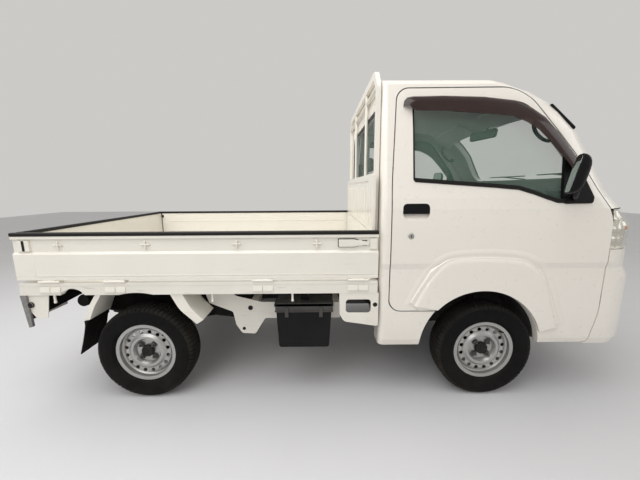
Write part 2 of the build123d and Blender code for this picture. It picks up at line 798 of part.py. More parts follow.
def front_panel():
    """The panel between the lamps, up to the windscreen's foot, with its grille slot."""
    low = BUMPER_TOP_Z + PANEL_GAP
    zone = block((NOSE_REAR_X - 60, FRONT_X + 20), (-WIDE, WIDE), (low, HOOD_TOP_Z - PANEL_GAP))
    panel = NOSE_SKIN & zone
    for piece in mirrored_pair(lamp_zone(PANEL_GAP)):
        panel = panel - piece
    slot = both_halves(
        [
            (0, GRILLE_Z[0], 0),
            (GRILLE_HALF, GRILLE_Z[0], 20),
            (GRILLE_HALF, GRILLE_Z[1], 20),
            (0, GRILLE_Z[1], 0),
        ]
    )
    return panel - front_prism(slot, FRONT_X - 150, FRONT_X + 10)


def hinge_arm(z):
    """A door hinge's fixed half: the pin, and the arm that cranks round the door's edge."""
    span = (z - HINGE_ARM_HALF, z + HINGE_ARM_HALF)
    reach = HINGE_POCKET_HALF + HINGE_BORE
    half = HINGE_ARM_DEPTH / 2
    inner = (-HINGE_ARM_INNER_Y - HINGE_ARM_DEPTH, -HINGE_ARM_INNER_Y)
    pin = rod((HINGE_X, -HINGE_Y, z - reach), (HINGE_X, -HINGE_Y, z + reach), HINGE_RADIUS)
    across = block((HINGE_X - half, HINGE_X + half), (-HINGE_Y, -HINGE_ARM_INNER_Y), span)
    along = block((HINGE_X - half, NOSE_REAR_X + 12), inner, span)
    return joined([pin, across, along])


def cab_floor():
    """Footwell, bulkhead, seat deck, wheel houses and hinge pillars under and inside the shell."""
    rear_x = CAB_REAR_X + CAB_WALL
    floor_top = FLOOR_Z + FLOOR_THICKNESS
    pieces = [
        block((RISER_X, BULKHEAD_X), (-FLOOR_HALF, FLOOR_HALF), (FLOOR_Z, floor_top)),
        block(
            (BULKHEAD_X, BULKHEAD_X + PANEL_THICKNESS), (-FLOOR_HALF, FLOOR_HALF), (FLOOR_Z, 1100)
        ),
        block((RISER_X, RISER_X + PANEL_THICKNESS), (-FLOOR_HALF, FLOOR_HALF), (FLOOR_Z, DECK_Z)),
        block(
            (rear_x, RISER_X + PANEL_THICKNESS),
            (-FLOOR_HALF, FLOOR_HALF),
            (DECK_Z, DECK_Z + FLOOR_THICKNESS),
        ),
        block((rear_x, rear_x + PANEL_THICKNESS), (-FLOOR_HALF, FLOOR_HALF), (520, DECK_Z)),
    ]
    house_top = block((ARCH_X - 500, ARCH_X + 500), (-WIDE, WIDE), (CAB_BOTTOM_Z + 10, 800))
    for side in (-1, 1):
        y_in = side * (HOUSE_INNER_Y - HOUSE_WALL)
        y_out = side * FLOOR_HALF
        house = arch_cylinder(HOUSE_RADIUS + HOUSE_WALL, y_in, y_out) & house_top
        pieces.append(house)
    keep = cab_form(
        side=CAB_WALL + FLOOR_INSET - 12,
        front=NOSE_WALL + SEAT_GAP,
        rear=CAB_WALL,
        top=ROOF_WALL,
    )
    body = joined(pieces) & keep
    for side in (-1, 1):
        body = body - arch_cylinder(HOUSE_RADIUS, side * HOUSE_INNER_Y, side * WIDE)
    pillar_inner = cab_form(
        side=NOSE_WALL + SEAT_GAP, front=NOSE_WALL + SEAT_GAP, rear=CAB_WALL, top=ROOF_WALL
    )
    pillar = block(
        (NOSE_REAR_X + 4, BULKHEAD_X + PANEL_THICKNESS),
        (-WIDE, -FLOOR_HALF + 40),
        (FLOOR_Z, LAMP_TOP_Z),
    )
    pillar = pillar & pillar_inner
    right = joined([pillar] + [hinge_arm(z) for z in HINGE_HEIGHTS])
    return joined([body, *mirrored_pair(right)])


def dashboard():
    """The instrument panel, a moulded bar from pillar to pillar."""
    corners = [
        (1300, 800, 30),
        (BULKHEAD_X - SEAT_GAP, 780, 0),
        (BULKHEAD_X - SEAT_GAP, 1105, 0),
        (1330, 1120, 40),
        (1215, 1075, 25),
        (1235, 940, 30),
    ]
    bar = side_prism(corners, -620, 620)
    keep = cab_form(side=NOSE_WALL + 20, front=NOSE_WALL + 20, rear=CAB_WALL, top=ROOF_WALL)
    return bar & keep


def steering_axis():
    """The steering wheel's centre and the direction of its column, towards the driver."""
    centre = Vector(*STEERING_CENTRE)
    direction = Vector(-math.sin(math.radians(COLUMN_LEAN)), 0, math.cos(math.radians(COLUMN_LEAN)))
    return centre, direction


def steering_wheel():
    """The wheel with its boss and three spokes."""
    centre, direction = steering_axis()
    plane = Plane(origin=centre, z_dir=direction, x_dir=(0, 1, 0))
    ring = plane.location * Torus(178, 13)
    boss = plane.location * Cylinder(48, BOSS_LENGTH)
    spokes = []
    for angle in (0, 180, 270):
        arm = plane.location * Rot(0, 0, angle) * Pos(100, 0, 0) * Box(150, 26, 14)
        spokes.append(arm)
    return joined([ring, boss] + spokes)


def steering_column(panel):
    """The column tube from the wheel's boss to the instrument panel."""
    centre, direction = steering_axis()
    start = centre - direction * (BOSS_LENGTH / 2 + SEAT_GAP)
    end = centre - direction * 220
    seat_face = direction * SEAT_GAP
    return rod(tuple(start), tuple(end), 24) - Pos(seat_face.X, seat_face.Y, seat_face.Z) * panel


def seat(y_middle):
    """A cushion, a backrest and a headrest of the low cab seat."""
    low = DECK_Z + FLOOR_THICKNESS + SEAT_GAP
    cushion_top = low + CUSHION_HEIGHT
    cushion = side_prism(
        [
            (345, low, 0),
            (870, low, 20),
            (895, cushion_top + 30, 45),
            (420, cushion_top, 30),
            (345, cushion_top, 10),
        ],
        y_middle - CUSHION_HALF,
        y_middle + CUSHION_HALF,
    )
    back_low = cushion_top + SEAT_GAP
    back = side_prism(
        [
            (415, back_low, 10),
            (330, back_low, 10),
            (285, BACKREST_TOP_Z - 35, 30),
            (345, BACKREST_TOP_Z, 40),
            (385, BACKREST_TOP_Z - 30, 40),
        ],
        y_middle - BACKREST_HALF,
        y_middle + BACKREST_HALF,
    )
    rest_low = BACKREST_TOP_Z + 14
    rest = side_prism(
        [
            (300, rest_low, 15),
            (375, rest_low, 15),
            (350, HEADREST_TOP_Z, 30),
            (285, HEADREST_TOP_Z - 5, 30),
        ],
        y_middle - HEADREST_HALF,
        y_middle + HEADREST_HALF,
    )
    for offset in (-HEADREST_POST_Y, HEADREST_POST_Y):
        post = block((328, 340), (y_middle + offset - 6, y_middle + offset + 6), (1200, rest_low + 5))
        rest = rest + (post - Pos(0, 0, SEAT_GAP) * back)
    return joined([cushion, back, rest])


# Chassis


def chassis_frame():
    """Two cranked rails and their cross members."""
    low_rear = RAIL_REAR_Z - RAIL_HEIGHT
    low_front = RAIL_FRONT_Z - RAIL_HEIGHT
    bend_1, bend_2 = RAIL_BEND_X
    corners = [
        (RAIL_REAR_END_X, low_rear, 8),
        (bend_1 - 25, low_rear, 60),
        (bend_2 - 25, low_front, 60),
        (RAIL_FRONT_END_X, low_front, 8),
        (RAIL_FRONT_END_X, RAIL_FRONT_Z, 8),
        (bend_2, RAIL_FRONT_Z, 60),
        (bend_1, RAIL_REAR_Z, 60),
        (RAIL_REAR_END_X, RAIL_REAR_Z, 8),
    ]
    right = side_prism(corners, -RAIL_Y - RAIL_WIDTH, -RAIL_Y)
    pieces = list(mirrored_pair(right))
    for x in CROSS_MEMBER_XS:
        top = RAIL_REAR_Z if x < bend_1 else RAIL_FRONT_Z
        pieces.append(
            block(
                (x - CROSS_MEMBER_WIDTH / 2, x + CROSS_MEMBER_WIDTH / 2),
                (-RAIL_Y, RAIL_Y),
                (top - RAIL_HEIGHT + 10, top - 10),
            )
        )
    return joined(pieces)


def engine_block():
    """The engine under the seats, one plain block on its two mounts."""
    body = side_prism(
        [(400, 215, 30), (700, 215, 30), (745, 420, 40), (700, 600, 40), (430, 600, 40)], -230, 230
    )
    mounts = block((530, 610), (-RAIL_Y, RAIL_Y), (310, 350))
    return body + mounts


def gearbox_and_propshaft():
    """Bell housing, gearbox and the shaft to the rear axle."""
    bell = rod((399, 0, 360), (300, 0, 360), 130)
    box = rod((300, 0, 360), (0, 0, 360), 88)
    tail = rod((0, 0, 360), (-60, 0, 355), 42)
    flange_x = REAR_AXLE_X + DIFF_NOSE_LENGTH + SEAT_GAP
    shaft = rod((-60, 0, 355), (flange_x + 15, 0, TYRE_RADIUS), 30)
    flange = rod((flange_x, 0, TYRE_RADIUS), (flange_x + 20, 0, TYRE_RADIUS), 48)
    bar = block((150, 210), (-RAIL_Y + 0.2, RAIL_Y - 0.2), (440, 452))
    return joined([bell, box, tail, shaft, flange]) + bar


def rear_axle():
    """Axle tube, differential casing, brake drums and the hubs that carry the wheels."""
    hub_face = WHEEL_Y + HUB_FACE_OFFSET - RIM_WALL - SEAT_GAP
    drum_inner = hub_face - HUB_DEPTH - DRUM_WIDTH
    tube = cross_cylinder(REAR_AXLE_X, TYRE_RADIUS, AXLE_TUBE_RADIUS, -drum_inner, drum_inner)
    diff = Pos(REAR_AXLE_X, 0, TYRE_RADIUS) * Sphere(DIFF_RADIUS)
    nose = rod(
        (REAR_AXLE_X, 0, TYRE_RADIUS), (REAR_AXLE_X + DIFF_NOSE_LENGTH, 0, TYRE_RADIUS), 55
    )
    pads = []
    for side in (-1, 1):
        drum_outer = drum_inner + DRUM_WIDTH
        pads.append(
            cross_cylinder(
                REAR_AXLE_X, TYRE_RADIUS, HUB_RADIUS, side * drum_outer, side * hub_face
            )
        )
        pads.append(
            cross_cylinder(
                REAR_AXLE_X, TYRE_RADIUS, DRUM_RADIUS, side * drum_inner, side * drum_outer
            )
        )
        y_mid = side * (RAIL_Y + RAIL_WIDTH / 2)
        pads.append(
            block(
                (REAR_AXLE_X - 45, REAR_AXLE_X + 45),
                (y_mid - SPRING_WIDTH / 2, y_mid + SPRING_WIDTH / 2),
                (TYRE_RADIUS, TYRE_RADIUS + AXLE_TUBE_RADIUS + 12),
            )
        )
    return joined([tube, diff, nose] + pads)


def leaf_spring(y_middle):
    """One leaf pack over the axle, with its eyes at the rail."""
    low_z = TYRE_RADIUS + AXLE_TUBE_RADIUS + 12.3
    pieces = []
    for index in range(SPRING_LEAVES):
        half = SPRING_HALF * (1 - 0.2 * (SPRING_LEAVES - 1 - index))
        radius = (SPRING_HALF ** 2 + SPRING_ARCH ** 2) / (2 * SPRING_ARCH)
        base = low_z + index * SPRING_LEAF
        centre_z = base + radius
        rise = centre_z - math.sqrt((radius) ** 2 - half ** 2)
        inner = radius - SPRING_LEAF
        rise_in = centre_z - math.sqrt(inner ** 2 - half ** 2)
        plane = Plane(
            origin=(REAR_AXLE_X, y_middle + SPRING_WIDTH / 2, 0), x_dir=(1, 0, 0), z_dir=(0, -1, 0)
        )
        edges = [
            ThreePointArc((-half, rise), (0, base), (half, rise)),
            Line((half, rise), (half, rise_in)),
            ThreePointArc((half, rise_in), (0, base + SPRING_LEAF), (-half, rise_in)),
            Line((-half, rise_in), (-half, rise)),
        ]
        leaf = extrude(plane * Face(Wire(edges)), amount=SPRING_WIDTH, dir=(0, -1, 0))
        pieces.append(leaf)
    eye_z = low_z + SPRING_LEAVES * SPRING_LEAF + SPRING_ARCH - 6
    rail_low = RAIL_REAR_Z - RAIL_HEIGHT
    for x in (REAR_AXLE_X - SPRING_HALF, REAR_AXLE_X + SPRING_HALF):
        pieces.append(
            cross_cylinder(x, eye_z, 20, y_middle - SPRING_WIDTH / 2, y_middle + SPRING_WIDTH / 2)
        )
        pieces.append(block((x - 14, x + 14), (y_middle - 25, y_middle + 25), (eye_z, rail_low)))
    return joined(pieces)


def leaf_springs():
    """The two leaf packs."""
    y_mid = RAIL_Y + RAIL_WIDTH / 2
    return joined([leaf_spring(-y_mid), leaf_spring(y_mid)])


def kingpin_y(z):
    """The steering axis leans inwards as it rises."""
    return -KINGPIN_FOOT_Y + (z - KINGPIN_FOOT_Z) * KINGPIN_LEAN


def front_suspension():
    """The cross member, the lower arms and the strut towers."""
    pieces = [block((FRONT_AXLE_X - 60, FRONT_AXLE_X + 60), (-RAIL_Y, RAIL_Y), (200, 290))]
    for side in (-1, 1):
        arm_end = side * (KINGPIN_FOOT_Y + 10)
        arm = plan_prism(
            [
                (FRONT_AXLE_X - 22, arm_end, 10),
                (FRONT_AXLE_X + 22, arm_end, 10),
                (FRONT_AXLE_X + 130, side * RAIL_Y, 10),
                (FRONT_AXLE_X - 130, side * RAIL_Y, 10),
            ],
            *ARM_Z,
        )
        web = block(
            (FRONT_AXLE_X - 60, FRONT_AXLE_X + 60),
            (side * (RAIL_Y - 60), side * (RAIL_Y + 20)),
            (ARM_Z[0], RAIL_FRONT_Z - RAIL_HEIGHT),
        )
        pieces += [arm, web]
    return joined(pieces)


def wheel_disc_profile(hub_face):
    """The steel disc's section as corners (radius, y), y outwards from the tyre's middle."""
    thick = RIM_WALL
    outer = [
        (136.5, 20.0),
        (131.0, 34.0),
        (118.0, 39.0),
        (104.0, 34.0),
        (91.0, 44.0),
        (78.0, 42.0),
        (66.0, hub_face),
        (CAP_RADIUS - 3.0, hub_face),
    ]
    inner = [(r, y - thick) for r, y in reversed(outer)]
    return outer + inner


def rim():
    """A pressed steel wheel about the Y axis, its outer side towards -Y, at the origin."""
    half = RIM_WIDTH / 2
    drop = 138.0
    barrel_outer = [
        (RIM_FLANGE_RADIUS, -half),
        (RIM_FLANGE_RADIUS, -half + 3),
        (RIM_RADIUS, -half + 8),
        (RIM_RADIUS - 1, -half + 26),
        (drop, -half + 36),
        (drop, half - 40),
        (RIM_RADIUS - 1, half - 28),
        (RIM_RADIUS, half - 8),
        (RIM_FLANGE_RADIUS, half - 3),
        (RIM_FLANGE_RADIUS, half),
        (RIM_RADIUS - RIM_WALL, half - 2),
        (RIM_RADIUS - 1 - RIM_WALL, half - 26),
        (drop - RIM_WALL, half - 38),
        (drop - RIM_WALL, -half + 34),
        (RIM_RADIUS - 1 - RIM_WALL, -half + 24),
        (RIM_RADIUS - RIM_WALL, -half + 2),
    ]
    barrel = revolve(
        Plane.XY * outline([(r, y, 0) for r, y in barrel_outer]), axis=Axis.Y, revolution_arc=360
    )
    disc_corners = [(r, -y, 0) for r, y in wheel_disc_profile(HUB_FACE_OFFSET)]
    disc = revolve(Plane.XY * outline(disc_corners), axis=Axis.Y, revolution_arc=360)
    wheel = barrel + disc
    for index in range(VENT_COUNT):
        angle = math.radians((index + 0.5) * 360 / VENT_COUNT)
        x = VENT_CIRCLE * math.cos(angle)
        z = VENT_CIRCLE * math.sin(angle)
        wheel = wheel - rod((x, -60, z), (x, 0, z), VENT_RADIUS)
    return wheel


def tyre():
    """The tyre about the Y axis at the origin, with its grooved tread band."""
    half = TYRE_WIDTH / 2
    bead = RIM_WIDTH / 2 - 8.5
    corners = [
        (RIM_RADIUS + 0.3, -bead, 0),
        (RIM_FLANGE_RADIUS - 2, -bead, 6),
        (RIM_FLANGE_RADIUS + 18, -half + 3, 20),
        (215, -half, 40),
        (TYRE_RADIUS - 12, -half + 9, 20),
        (TYRE_RADIUS, -half + 24, 8),
        (TYRE_RADIUS, half - 24, 8),
        (TYRE_RADIUS - 12, half - 9, 20),
        (215, half, 40),
        (RIM_FLANGE_RADIUS + 18, half - 3, 20),
        (RIM_FLANGE_RADIUS - 2, bead, 6),
        (RIM_RADIUS + 0.3, bead, 0),
    ]
    ring = revolve(Plane.XY * outline(corners), axis=Axis.Y, revolution_arc=360)
    for y in (-26, 0, 26):
        groove = [
            (TYRE_RADIUS - 7, y - 2.5, 0),
            (TYRE_RADIUS + 5, y - 3.5, 0),
            (TYRE_RADIUS + 5, y + 3.5, 0),
            (TYRE_RADIUS - 7, y + 2.5, 0),
        ]
        ring = ring - revolve(Plane.XY * outline(groove), axis=Axis.Y, revolution_arc=360)
    return ring


def placed_wheel(piece, x, side):
    """A wheel piece at its corner, outer side outwards."""
    turned = piece if side < 0 else Rot(0, 0, 180) * piece
    return Pos(x, side * WHEEL_Y, TYRE_RADIUS) * turned


def knuckle():
    """The driver's side upright with its hub, brake disc and strut tube."""
    hub_y = -(WHEEL_Y + HUB_FACE_OFFSET - RIM_WALL - SEAT_GAP)
    disc_y = hub_y + HUB_DEPTH
    hub = cross_cylinder(FRONT_AXLE_X, TYRE_RADIUS, HUB_RADIUS, hub_y, disc_y)
    disc = cross_cylinder(FRONT_AXLE_X, TYRE_RADIUS, 108, disc_y, disc_y + BRAKE_DISC)
    spindle = cross_cylinder(FRONT_AXLE_X, TYRE_RADIUS, 32, disc_y + BRAKE_DISC, -560)
    foot_z = ARM_Z[1] + BALL_JOINT_GAP
    foot = (FRONT_AXLE_X, kingpin_y(foot_z), foot_z)
    upright = rod(foot, (FRONT_AXLE_X, kingpin_y(250), 250), 16)
    tube_low = (FRONT_AXLE_X, kingpin_y(250) + STRUT_OFFSET, 240)
    tube_high = (FRONT_AXLE_X, kingpin_y(STRUT_TOP_Z) + STRUT_OFFSET, STRUT_TOP_Z)
    tube = rod(tube_low, tube_high, STRUT_RADIUS)
    return joined([hub, disc, spindle, upright, tube])


def battery_box():
    """The tapered black box under the bed's driver side."""
    corners = [(-342, 535, 0), (-329, 293, 14), (-50, 293, 14), (-34, 535, 0)]
    body = side_prism(corners, -700, -565)
    lip = block((-350, -26), (-704, -561), (535, 549))
    hanger = block((-205, -165), (-650, -580), (549, BEARER_WING_Z - SEAT_GAP))
    return joined([body, lip, hanger])


def fuel_tank():
    """The tank under the bed's far side."""
    body = side_prism([(-420, 330, 40), (60, 330, 40), (60, 540, 30), (-420, 540, 30)], 430, 680)
    hanger = block((-205, -165), (500, 640), (540, BEARER_WING_Z - SEAT_GAP))
    return body + hanger


def exhaust():
    """Silencer and its pipes on the far side."""
    can = rod((-1000 + 380, 200, 350), (-1000 + 800, 200, 350), 70)
    front = rod((-200, 200, 350), (EXHAUST_FLANGE_X, 200, 350), 20)
    tail = rod((-620, 200, 350), (-760, 200, 400), 18)
    return joined([can, front, tail])


# Load bed


def bed_half():
    """Half the bed floor's width, inside the gates."""
    return SIDE_FACE_Y - GATE_THICKNESS - SHUT_GAP


def bed_floor():
    """The ribbed floor on its cross bearers, with the side sills that carry the gates' hinges."""
    x_low = TAIL_FACE_X + GATE_THICKNESS + SHUT_GAP
    x_high = GUARD_FRONT_X - GUARD_DEPTH - HEADBOARD_THICKNESS - HEADBOARD_RIB
    plate_top = BED_FLOOR_Z - BED_RIB_HEIGHT
    plate_low = BED_FLOOR_Z - BED_FLOOR_THICKNESS
    half = bed_half()
    pieces = [block((x_low, GUARD_FRONT_X), (-half, half), (plate_low, plate_top))]
    pitch = 2 * half / BED_RIB_COUNT
    for index in range(BED_RIB_COUNT):
        y = -half + (index + 0.5) * pitch
        pieces.append(
            block(
                (x_low + 30, x_high - 20),
                (y - BED_RIB_WIDTH / 2, y + BED_RIB_WIDTH / 2),
                (plate_top, BED_FLOOR_Z),
            )
        )
    step = (BED_FRONT_X - x_low - BEARER_WIDTH) / (BEARER_COUNT - 1)
    for index in range(BEARER_COUNT):
        x = x_low + index * step
        wing = half - 20
        bearer = both_halves(
            [
                (0, plate_low, 0),
                (wing, plate_low, 0),
                (wing, BEARER_WING_Z, 0),
                (BEARER_BELLY_Y + 50, BEARER_WING_Z, 20),
                (BEARER_BELLY_Y, RAIL_REAR_Z, 20),
            ]
        )
        pieces.append(front_prism(bearer, x, x + BEARER_WIDTH))
    pieces += [bed_sill(side) for side in (-1, 1)]
    pieces.append(
        block(
            (TAIL_FACE_X + 2, x_low + 4),
            (-SILL_FACE_Y + SILL_THICKNESS, SILL_FACE_Y - SILL_THICKNESS),
            (SILL_BOTTOM_Z, SILL_TOP_Z),
        )
    )
    return joined(pieces)


def bed_sill(side):
    """The rail along the bed's edge, notched behind and over the rear wheel."""
    outer = side * SILL_FACE_Y
    inner = side * (SILL_FACE_Y - SILL_THICKNESS)
    rail = block((TAIL_FACE_X + 2, BED_FRONT_X), (outer, inner), (SILL_BOTTOM_Z, SILL_TOP_Z))
    groove = block(
        (TAIL_FACE_X - 5, BED_FRONT_X + 5), (outer - side * 2, outer + side * 2), SILL_GROOVE_Z
    )
    notch_x, notch_z, notch_radius = SILL_NOTCH
    notch = cross_cylinder(notch_x, notch_z, notch_radius, side * 690, side * 750)
    over_tyre = cross_cylinder(
        REAR_AXLE_X, TYRE_RADIUS, TYRE_RADIUS + SILL_TYRE_GAP, side * 690, side * 750
    )
    return rail - groove - notch - over_tyre


def gate_section(thickness):
    """A gate's upright section as corners (depth from the outer face, z)."""
    return [
        (0, GATE_BOTTOM_Z, 2),
        (thickness, GATE_BOTTOM_Z, 2),
        (thickness, GATE_TOP_Z, 0),
        (0, GATE_TOP_Z, 3),
        (0, GATE_LIP_Z, 2),
        (GATE_RECESS, GATE_LIP_Z - 6, 2),
        (GATE_RECESS, GATE_LEDGE_Z + 6, 2),
        (0, GATE_LEDGE_Z - 6, 2),
        (0, GATE_GROOVE_Z + 3, 0),
        (1.5, GATE_GROOVE_Z + 1, 0),
        (1.5, GATE_GROOVE_Z - 1, 0),
        (0, GATE_GROOVE_Z - 3, 0),
    ]


def gate_fittings():
    """What stands in the side gate's recess: rope hooks, the latch at each end and its lever."""
    floor_y = -SIDE_FACE_Y + GATE_RECESS
    bar_y = -SIDE_FACE_Y + GATE_HOOK_RADIUS + 1.5
    pieces = []
    for x in GATE_HOOK_XS:
        ends = (x - GATE_HOOK_LENGTH / 2, x + GATE_HOOK_LENGTH / 2)
        pieces.append(rod((ends[0], bar_y, GATE_HOOK_Z), (ends[1], bar_y, GATE_HOOK_Z), GATE_HOOK_RADIUS))
        for end in ends:
            foot = (end, floor_y + 2, GATE_HOOK_Z)
            pieces.append(rod((end, bar_y, GATE_HOOK_Z), foot, GATE_HOOK_RADIUS))
    pieces.append(side_prism(LATCH_LEVER, -SIDE_FACE_Y + 3, floor_y + 2))
    pieces.append(block(LATCH_FRAME_X, (-SIDE_FACE_Y + 1, floor_y + 2), LATCH_Z))
    pieces.append(block(LATCH_BLOCK_X, (-SIDE_FACE_Y + 1, floor_y + 2), LATCH_Z))
    return pieces


def side_gate():
    """The driver's side drop gate with its cap and hinge knuckles."""
    corners = [(-SIDE_FACE_Y + depth, z, r) for depth, z, r in gate_section(GATE_THICKNESS)]
    panel = front_prism(corners, TAIL_FACE_X, BED_FRONT_X)
    pieces = [panel] + gate_fittings()
    axis_y = -SIDE_FACE_Y
    for x in SIDE_HINGE_XS:
        start = (x - GATE_HINGE_LENGTH / 2, axis_y, GATE_HINGE_Z)
        end = (x + GATE_HINGE_LENGTH / 2, axis_y, GATE_HINGE_Z)
        pieces.append(rod(start, end, GATE_HINGE_RADIUS))
        pieces.append(
            block((start[0], end[0]), (axis_y + 0.5, axis_y + 6.5), (GATE_HINGE_Z, GATE_BOTTOM_Z + 4))
        )
    return joined(pieces)


def side_gate_cap():
    """The rubber strip along the gate's top edge."""
    corners = [
        (-SIDE_FACE_Y - 2, GATE_TOP_Z, 0),
        (-SIDE_FACE_Y + GATE_THICKNESS + 3, GATE_TOP_Z, 0),
        (-SIDE_FACE_Y + GATE_THICKNESS + 3, GATE_CAP_Z, 7),
        (-SIDE_FACE_Y - 2, GATE_CAP_Z, 7),
    ]
    return front_prism(corners, TAIL_FACE_X, BED_FRONT_X)


def tail_gate():
    """The rear drop gate."""
    half = SIDE_FACE_Y - GATE_THICKNESS - SHUT_GAP
    corners = [(TAIL_FACE_X + depth, z, r) for depth, z, r in gate_section(GATE_THICKNESS)]
    pieces = [side_prism(corners, -half, half)]
    for y in TAIL_HINGE_YS:
        start = (TAIL_FACE_X, y - GATE_HINGE_LENGTH / 2, GATE_HINGE_Z)
        end = (TAIL_FACE_X, y + GATE_HINGE_LENGTH / 2, GATE_HINGE_Z)
        pieces.append(rod(start, end, GATE_HINGE_RADIUS))
        pieces.append(
            block(
                (TAIL_FACE_X + 0.5, TAIL_FACE_X + 6.5),
                (start[1], end[1]),
                (GATE_HINGE_Z, GATE_BOTTOM_Z + 4),
            )
        )
    return joined(pieces)


def tail_gate_cap():
    """The rubber strip on the rear gate."""
    half = SIDE_FACE_Y - GATE_THICKNESS - SHUT_GAP - 3
    corners = [
        (TAIL_FACE_X, GATE_TOP_Z, 0),
        (TAIL_FACE_X + GATE_THICKNESS + 3, GATE_TOP_Z, 0),
        (TAIL_FACE_X + GATE_THICKNESS + 3, GATE_CAP_Z, 7),
        (TAIL_FACE_X, GATE_CAP_Z, 7),
    ]
    return side_prism(corners, -half, half)


def gate_hinge_brackets():
    """The hinge knuckles on the sills, one each side of every knuckle on a gate."""
    pieces = []
    reach = GATE_HINGE_LENGTH / 2 + SEAT_GAP
    length = 24.0
    sill_top = SILL_TOP_Z
    for side in (-1, 1):
        y = side * SIDE_FACE_Y
        section = [(side * (SILL_FACE_Y + proud), z, 0) for proud, z in HINGE_BLOCK_SECTION]
        for x in SIDE_HINGE_XS:
            for start in (x - HINGE_BLOCK_LENGTH - 2, x + 2):
                pieces.append(front_prism(section, start, start + HINGE_BLOCK_LENGTH))
            for start in (x - reach - length, x + reach):
                ends = [(value, y, GATE_HINGE_Z) for value in (start, start + length)]
                knuckle_rod = rod(*ends, GATE_HINGE_RADIUS)
                leaf = block((start, start + length), (y - side, y - side * 7), (sill_top, GATE_HINGE_Z))
                foot = block(
                    (start, start + length), (y - side * 4, y - side * 30), (sill_top, sill_top + 8)
                )
                pieces.append(joined([knuckle_rod, leaf, foot]))
    for y in TAIL_HINGE_YS:
        for start in (y - reach - length, y + reach):
            x = TAIL_FACE_X
            ends = [(x, value, GATE_HINGE_Z) for value in (start, start + length)]
            knuckle_rod = rod(*ends, GATE_HINGE_RADIUS)
            leaf = block((x, x + 7), (start, start + length), (sill_top, GATE_HINGE_Z))
            foot = block((x + 4, x + 30), (start, start + length), (sill_top, sill_top + 8))
            pieces.append(joined([knuckle_rod, leaf, foot]))
    return Compound(children=pieces)


def headboard():
    """The sheet between bed and cab, with its two rows of slots."""
    x_high = GUARD_FRONT_X - GUARD_DEPTH
    x_low = x_high - HEADBOARD_THICKNESS
    half = bed_half() - 20
    sheet = block((x_low, x_high), (-half, half), (BED_FLOOR_Z - BED_RIB_HEIGHT, HEADBOARD_TOP_Z))
    pitch = 2 * (half - 10) / HEADBOARD_RIB_COUNT
    for index in range(HEADBOARD_RIB_COUNT):
        y = (index - (HEADBOARD_RIB_COUNT - 1) / 2) * pitch
        sheet = sheet + block(
            (x_low - HEADBOARD_RIB, x_low + 1),
            (y - HEADBOARD_RIB_WIDTH / 2, y + HEADBOARD_RIB_WIDTH / 2),
            HEADBOARD_RIB_Z,
        )
    for z in SLOT_ROWS_Z:
        for index in range(SLOT_COUNT):
            y = (index - (SLOT_COUNT - 1) / 2) * SLOT_PITCH
            sheet = sheet - block(
                (x_low - 1, x_high + 1),
                (y - SLOT_WIDTH / 2, y + SLOT_WIDTH / 2),
                (z - SLOT_HEIGHT / 2, z + SLOT_HEIGHT / 2),
            )
    return sheet


def guard_frame():
    """The portal behind the cab's rear window: posts, beam and upright bars."""
    x_low = GUARD_FRONT_X - GUARD_DEPTH
    floor = BED_FLOOR_Z - BED_RIB_HEIGHT
    outer = [
        (GUARD_HALF, floor, 0),
        (GUARD_HALF, GUARD_SHOULDER_Z, 60),
        (GUARD_BEAM_HALF, HEIGHT, 60),
    ]
    inner = [
        (GUARD_HALF - GUARD_POST, floor, 0),
        (GUARD_HALF - GUARD_POST, GUARD_SHOULDER_Z - 14, 40),
        (GUARD_BEAM_HALF - 22, HEIGHT - GUARD_POST, 40),
    ]
    right_side = [(-y, z, r) for y, z, r in outer]
    band = right_side + list(reversed(outer)) + inner + [(-y, z, r) for y, z, r in reversed(inner)]
    frame = front_prism(band, x_low, GUARD_FRONT_X)
    pieces = [frame]
    x_mid = x_low + GUARD_DEPTH / 2
    sill_z = HEADBOARD_TOP_Z - 20
    half = GUARD_HALF - GUARD_POST
    pieces.append(block((x_low, GUARD_FRONT_X), (-half, half), (sill_z, HEADBOARD_TOP_Z + 12)))
    rail_half = half + 5
    pieces.append(
        rod((x_mid, -rail_half, GUARD_RAIL_Z), (x_mid, rail_half, GUARD_RAIL_Z), GUARD_BAR_RADIUS)
    )
    for y in GUARD_BAR_YS:
        pieces.append(rod((x_mid, y, sill_z + 5), (x_mid, y, HEIGHT - 10), GUARD_BAR_RADIUS))
    return joined(pieces)


def door_mirror():
    """The driver's door mirror and its arm from the window's front corner."""
    head = side_prism(
        [
            (1066, 1108, 25),
            (1140, 1124, 30),
            (1172, 1200, 50),
            (1165, 1285, 35),
            (1112, 1312, 30),
            (1078, 1250, 60),
        ],
        -MIRROR_OUTER_Y,
        -MIRROR_INNER_Y,
    )
    arm = rod((1140, -MIRROR_INNER_Y - 10, 1140), (1190, 10 - half_width_at(1110), 1112), 11)
    foot = side_prism(
        [(1140, 1080, 8), (1296, 1090, 12), (1276, 1150, 20), (1238, 1215, 12), (1168, 1130, 40)],
        -WIDE,
        -600,
    )
    shoe_in = cab_form(side=-SEAT_GAP, front=-SEAT_GAP)
    shoe_out = cab_form(side=-MIRROR_SHOE, front=-MIRROR_SHOE)
    return joined([head, arm - shoe_in, foot & (shoe_out - shoe_in)])


def mud_flap():
    """The driver's side rear flap, hung from the foot of its guard."""
    inner, outer = GUARD_STRIP_Y
    span = (MUD_FLAP_FOOT_Z, MUD_FLAP_TOP_Z)
    flap = block((MUD_FLAP_X, MUD_FLAP_X + 6), (-outer - 8, -inner), span)
    clamp = (MUD_FLAP_TOP_Z - 22, MUD_FLAP_TOP_Z)
    strip = block((MUD_FLAP_X - 3, MUD_FLAP_X + 9), (-outer + 6, -inner - 6), clamp)
    return flap + strip


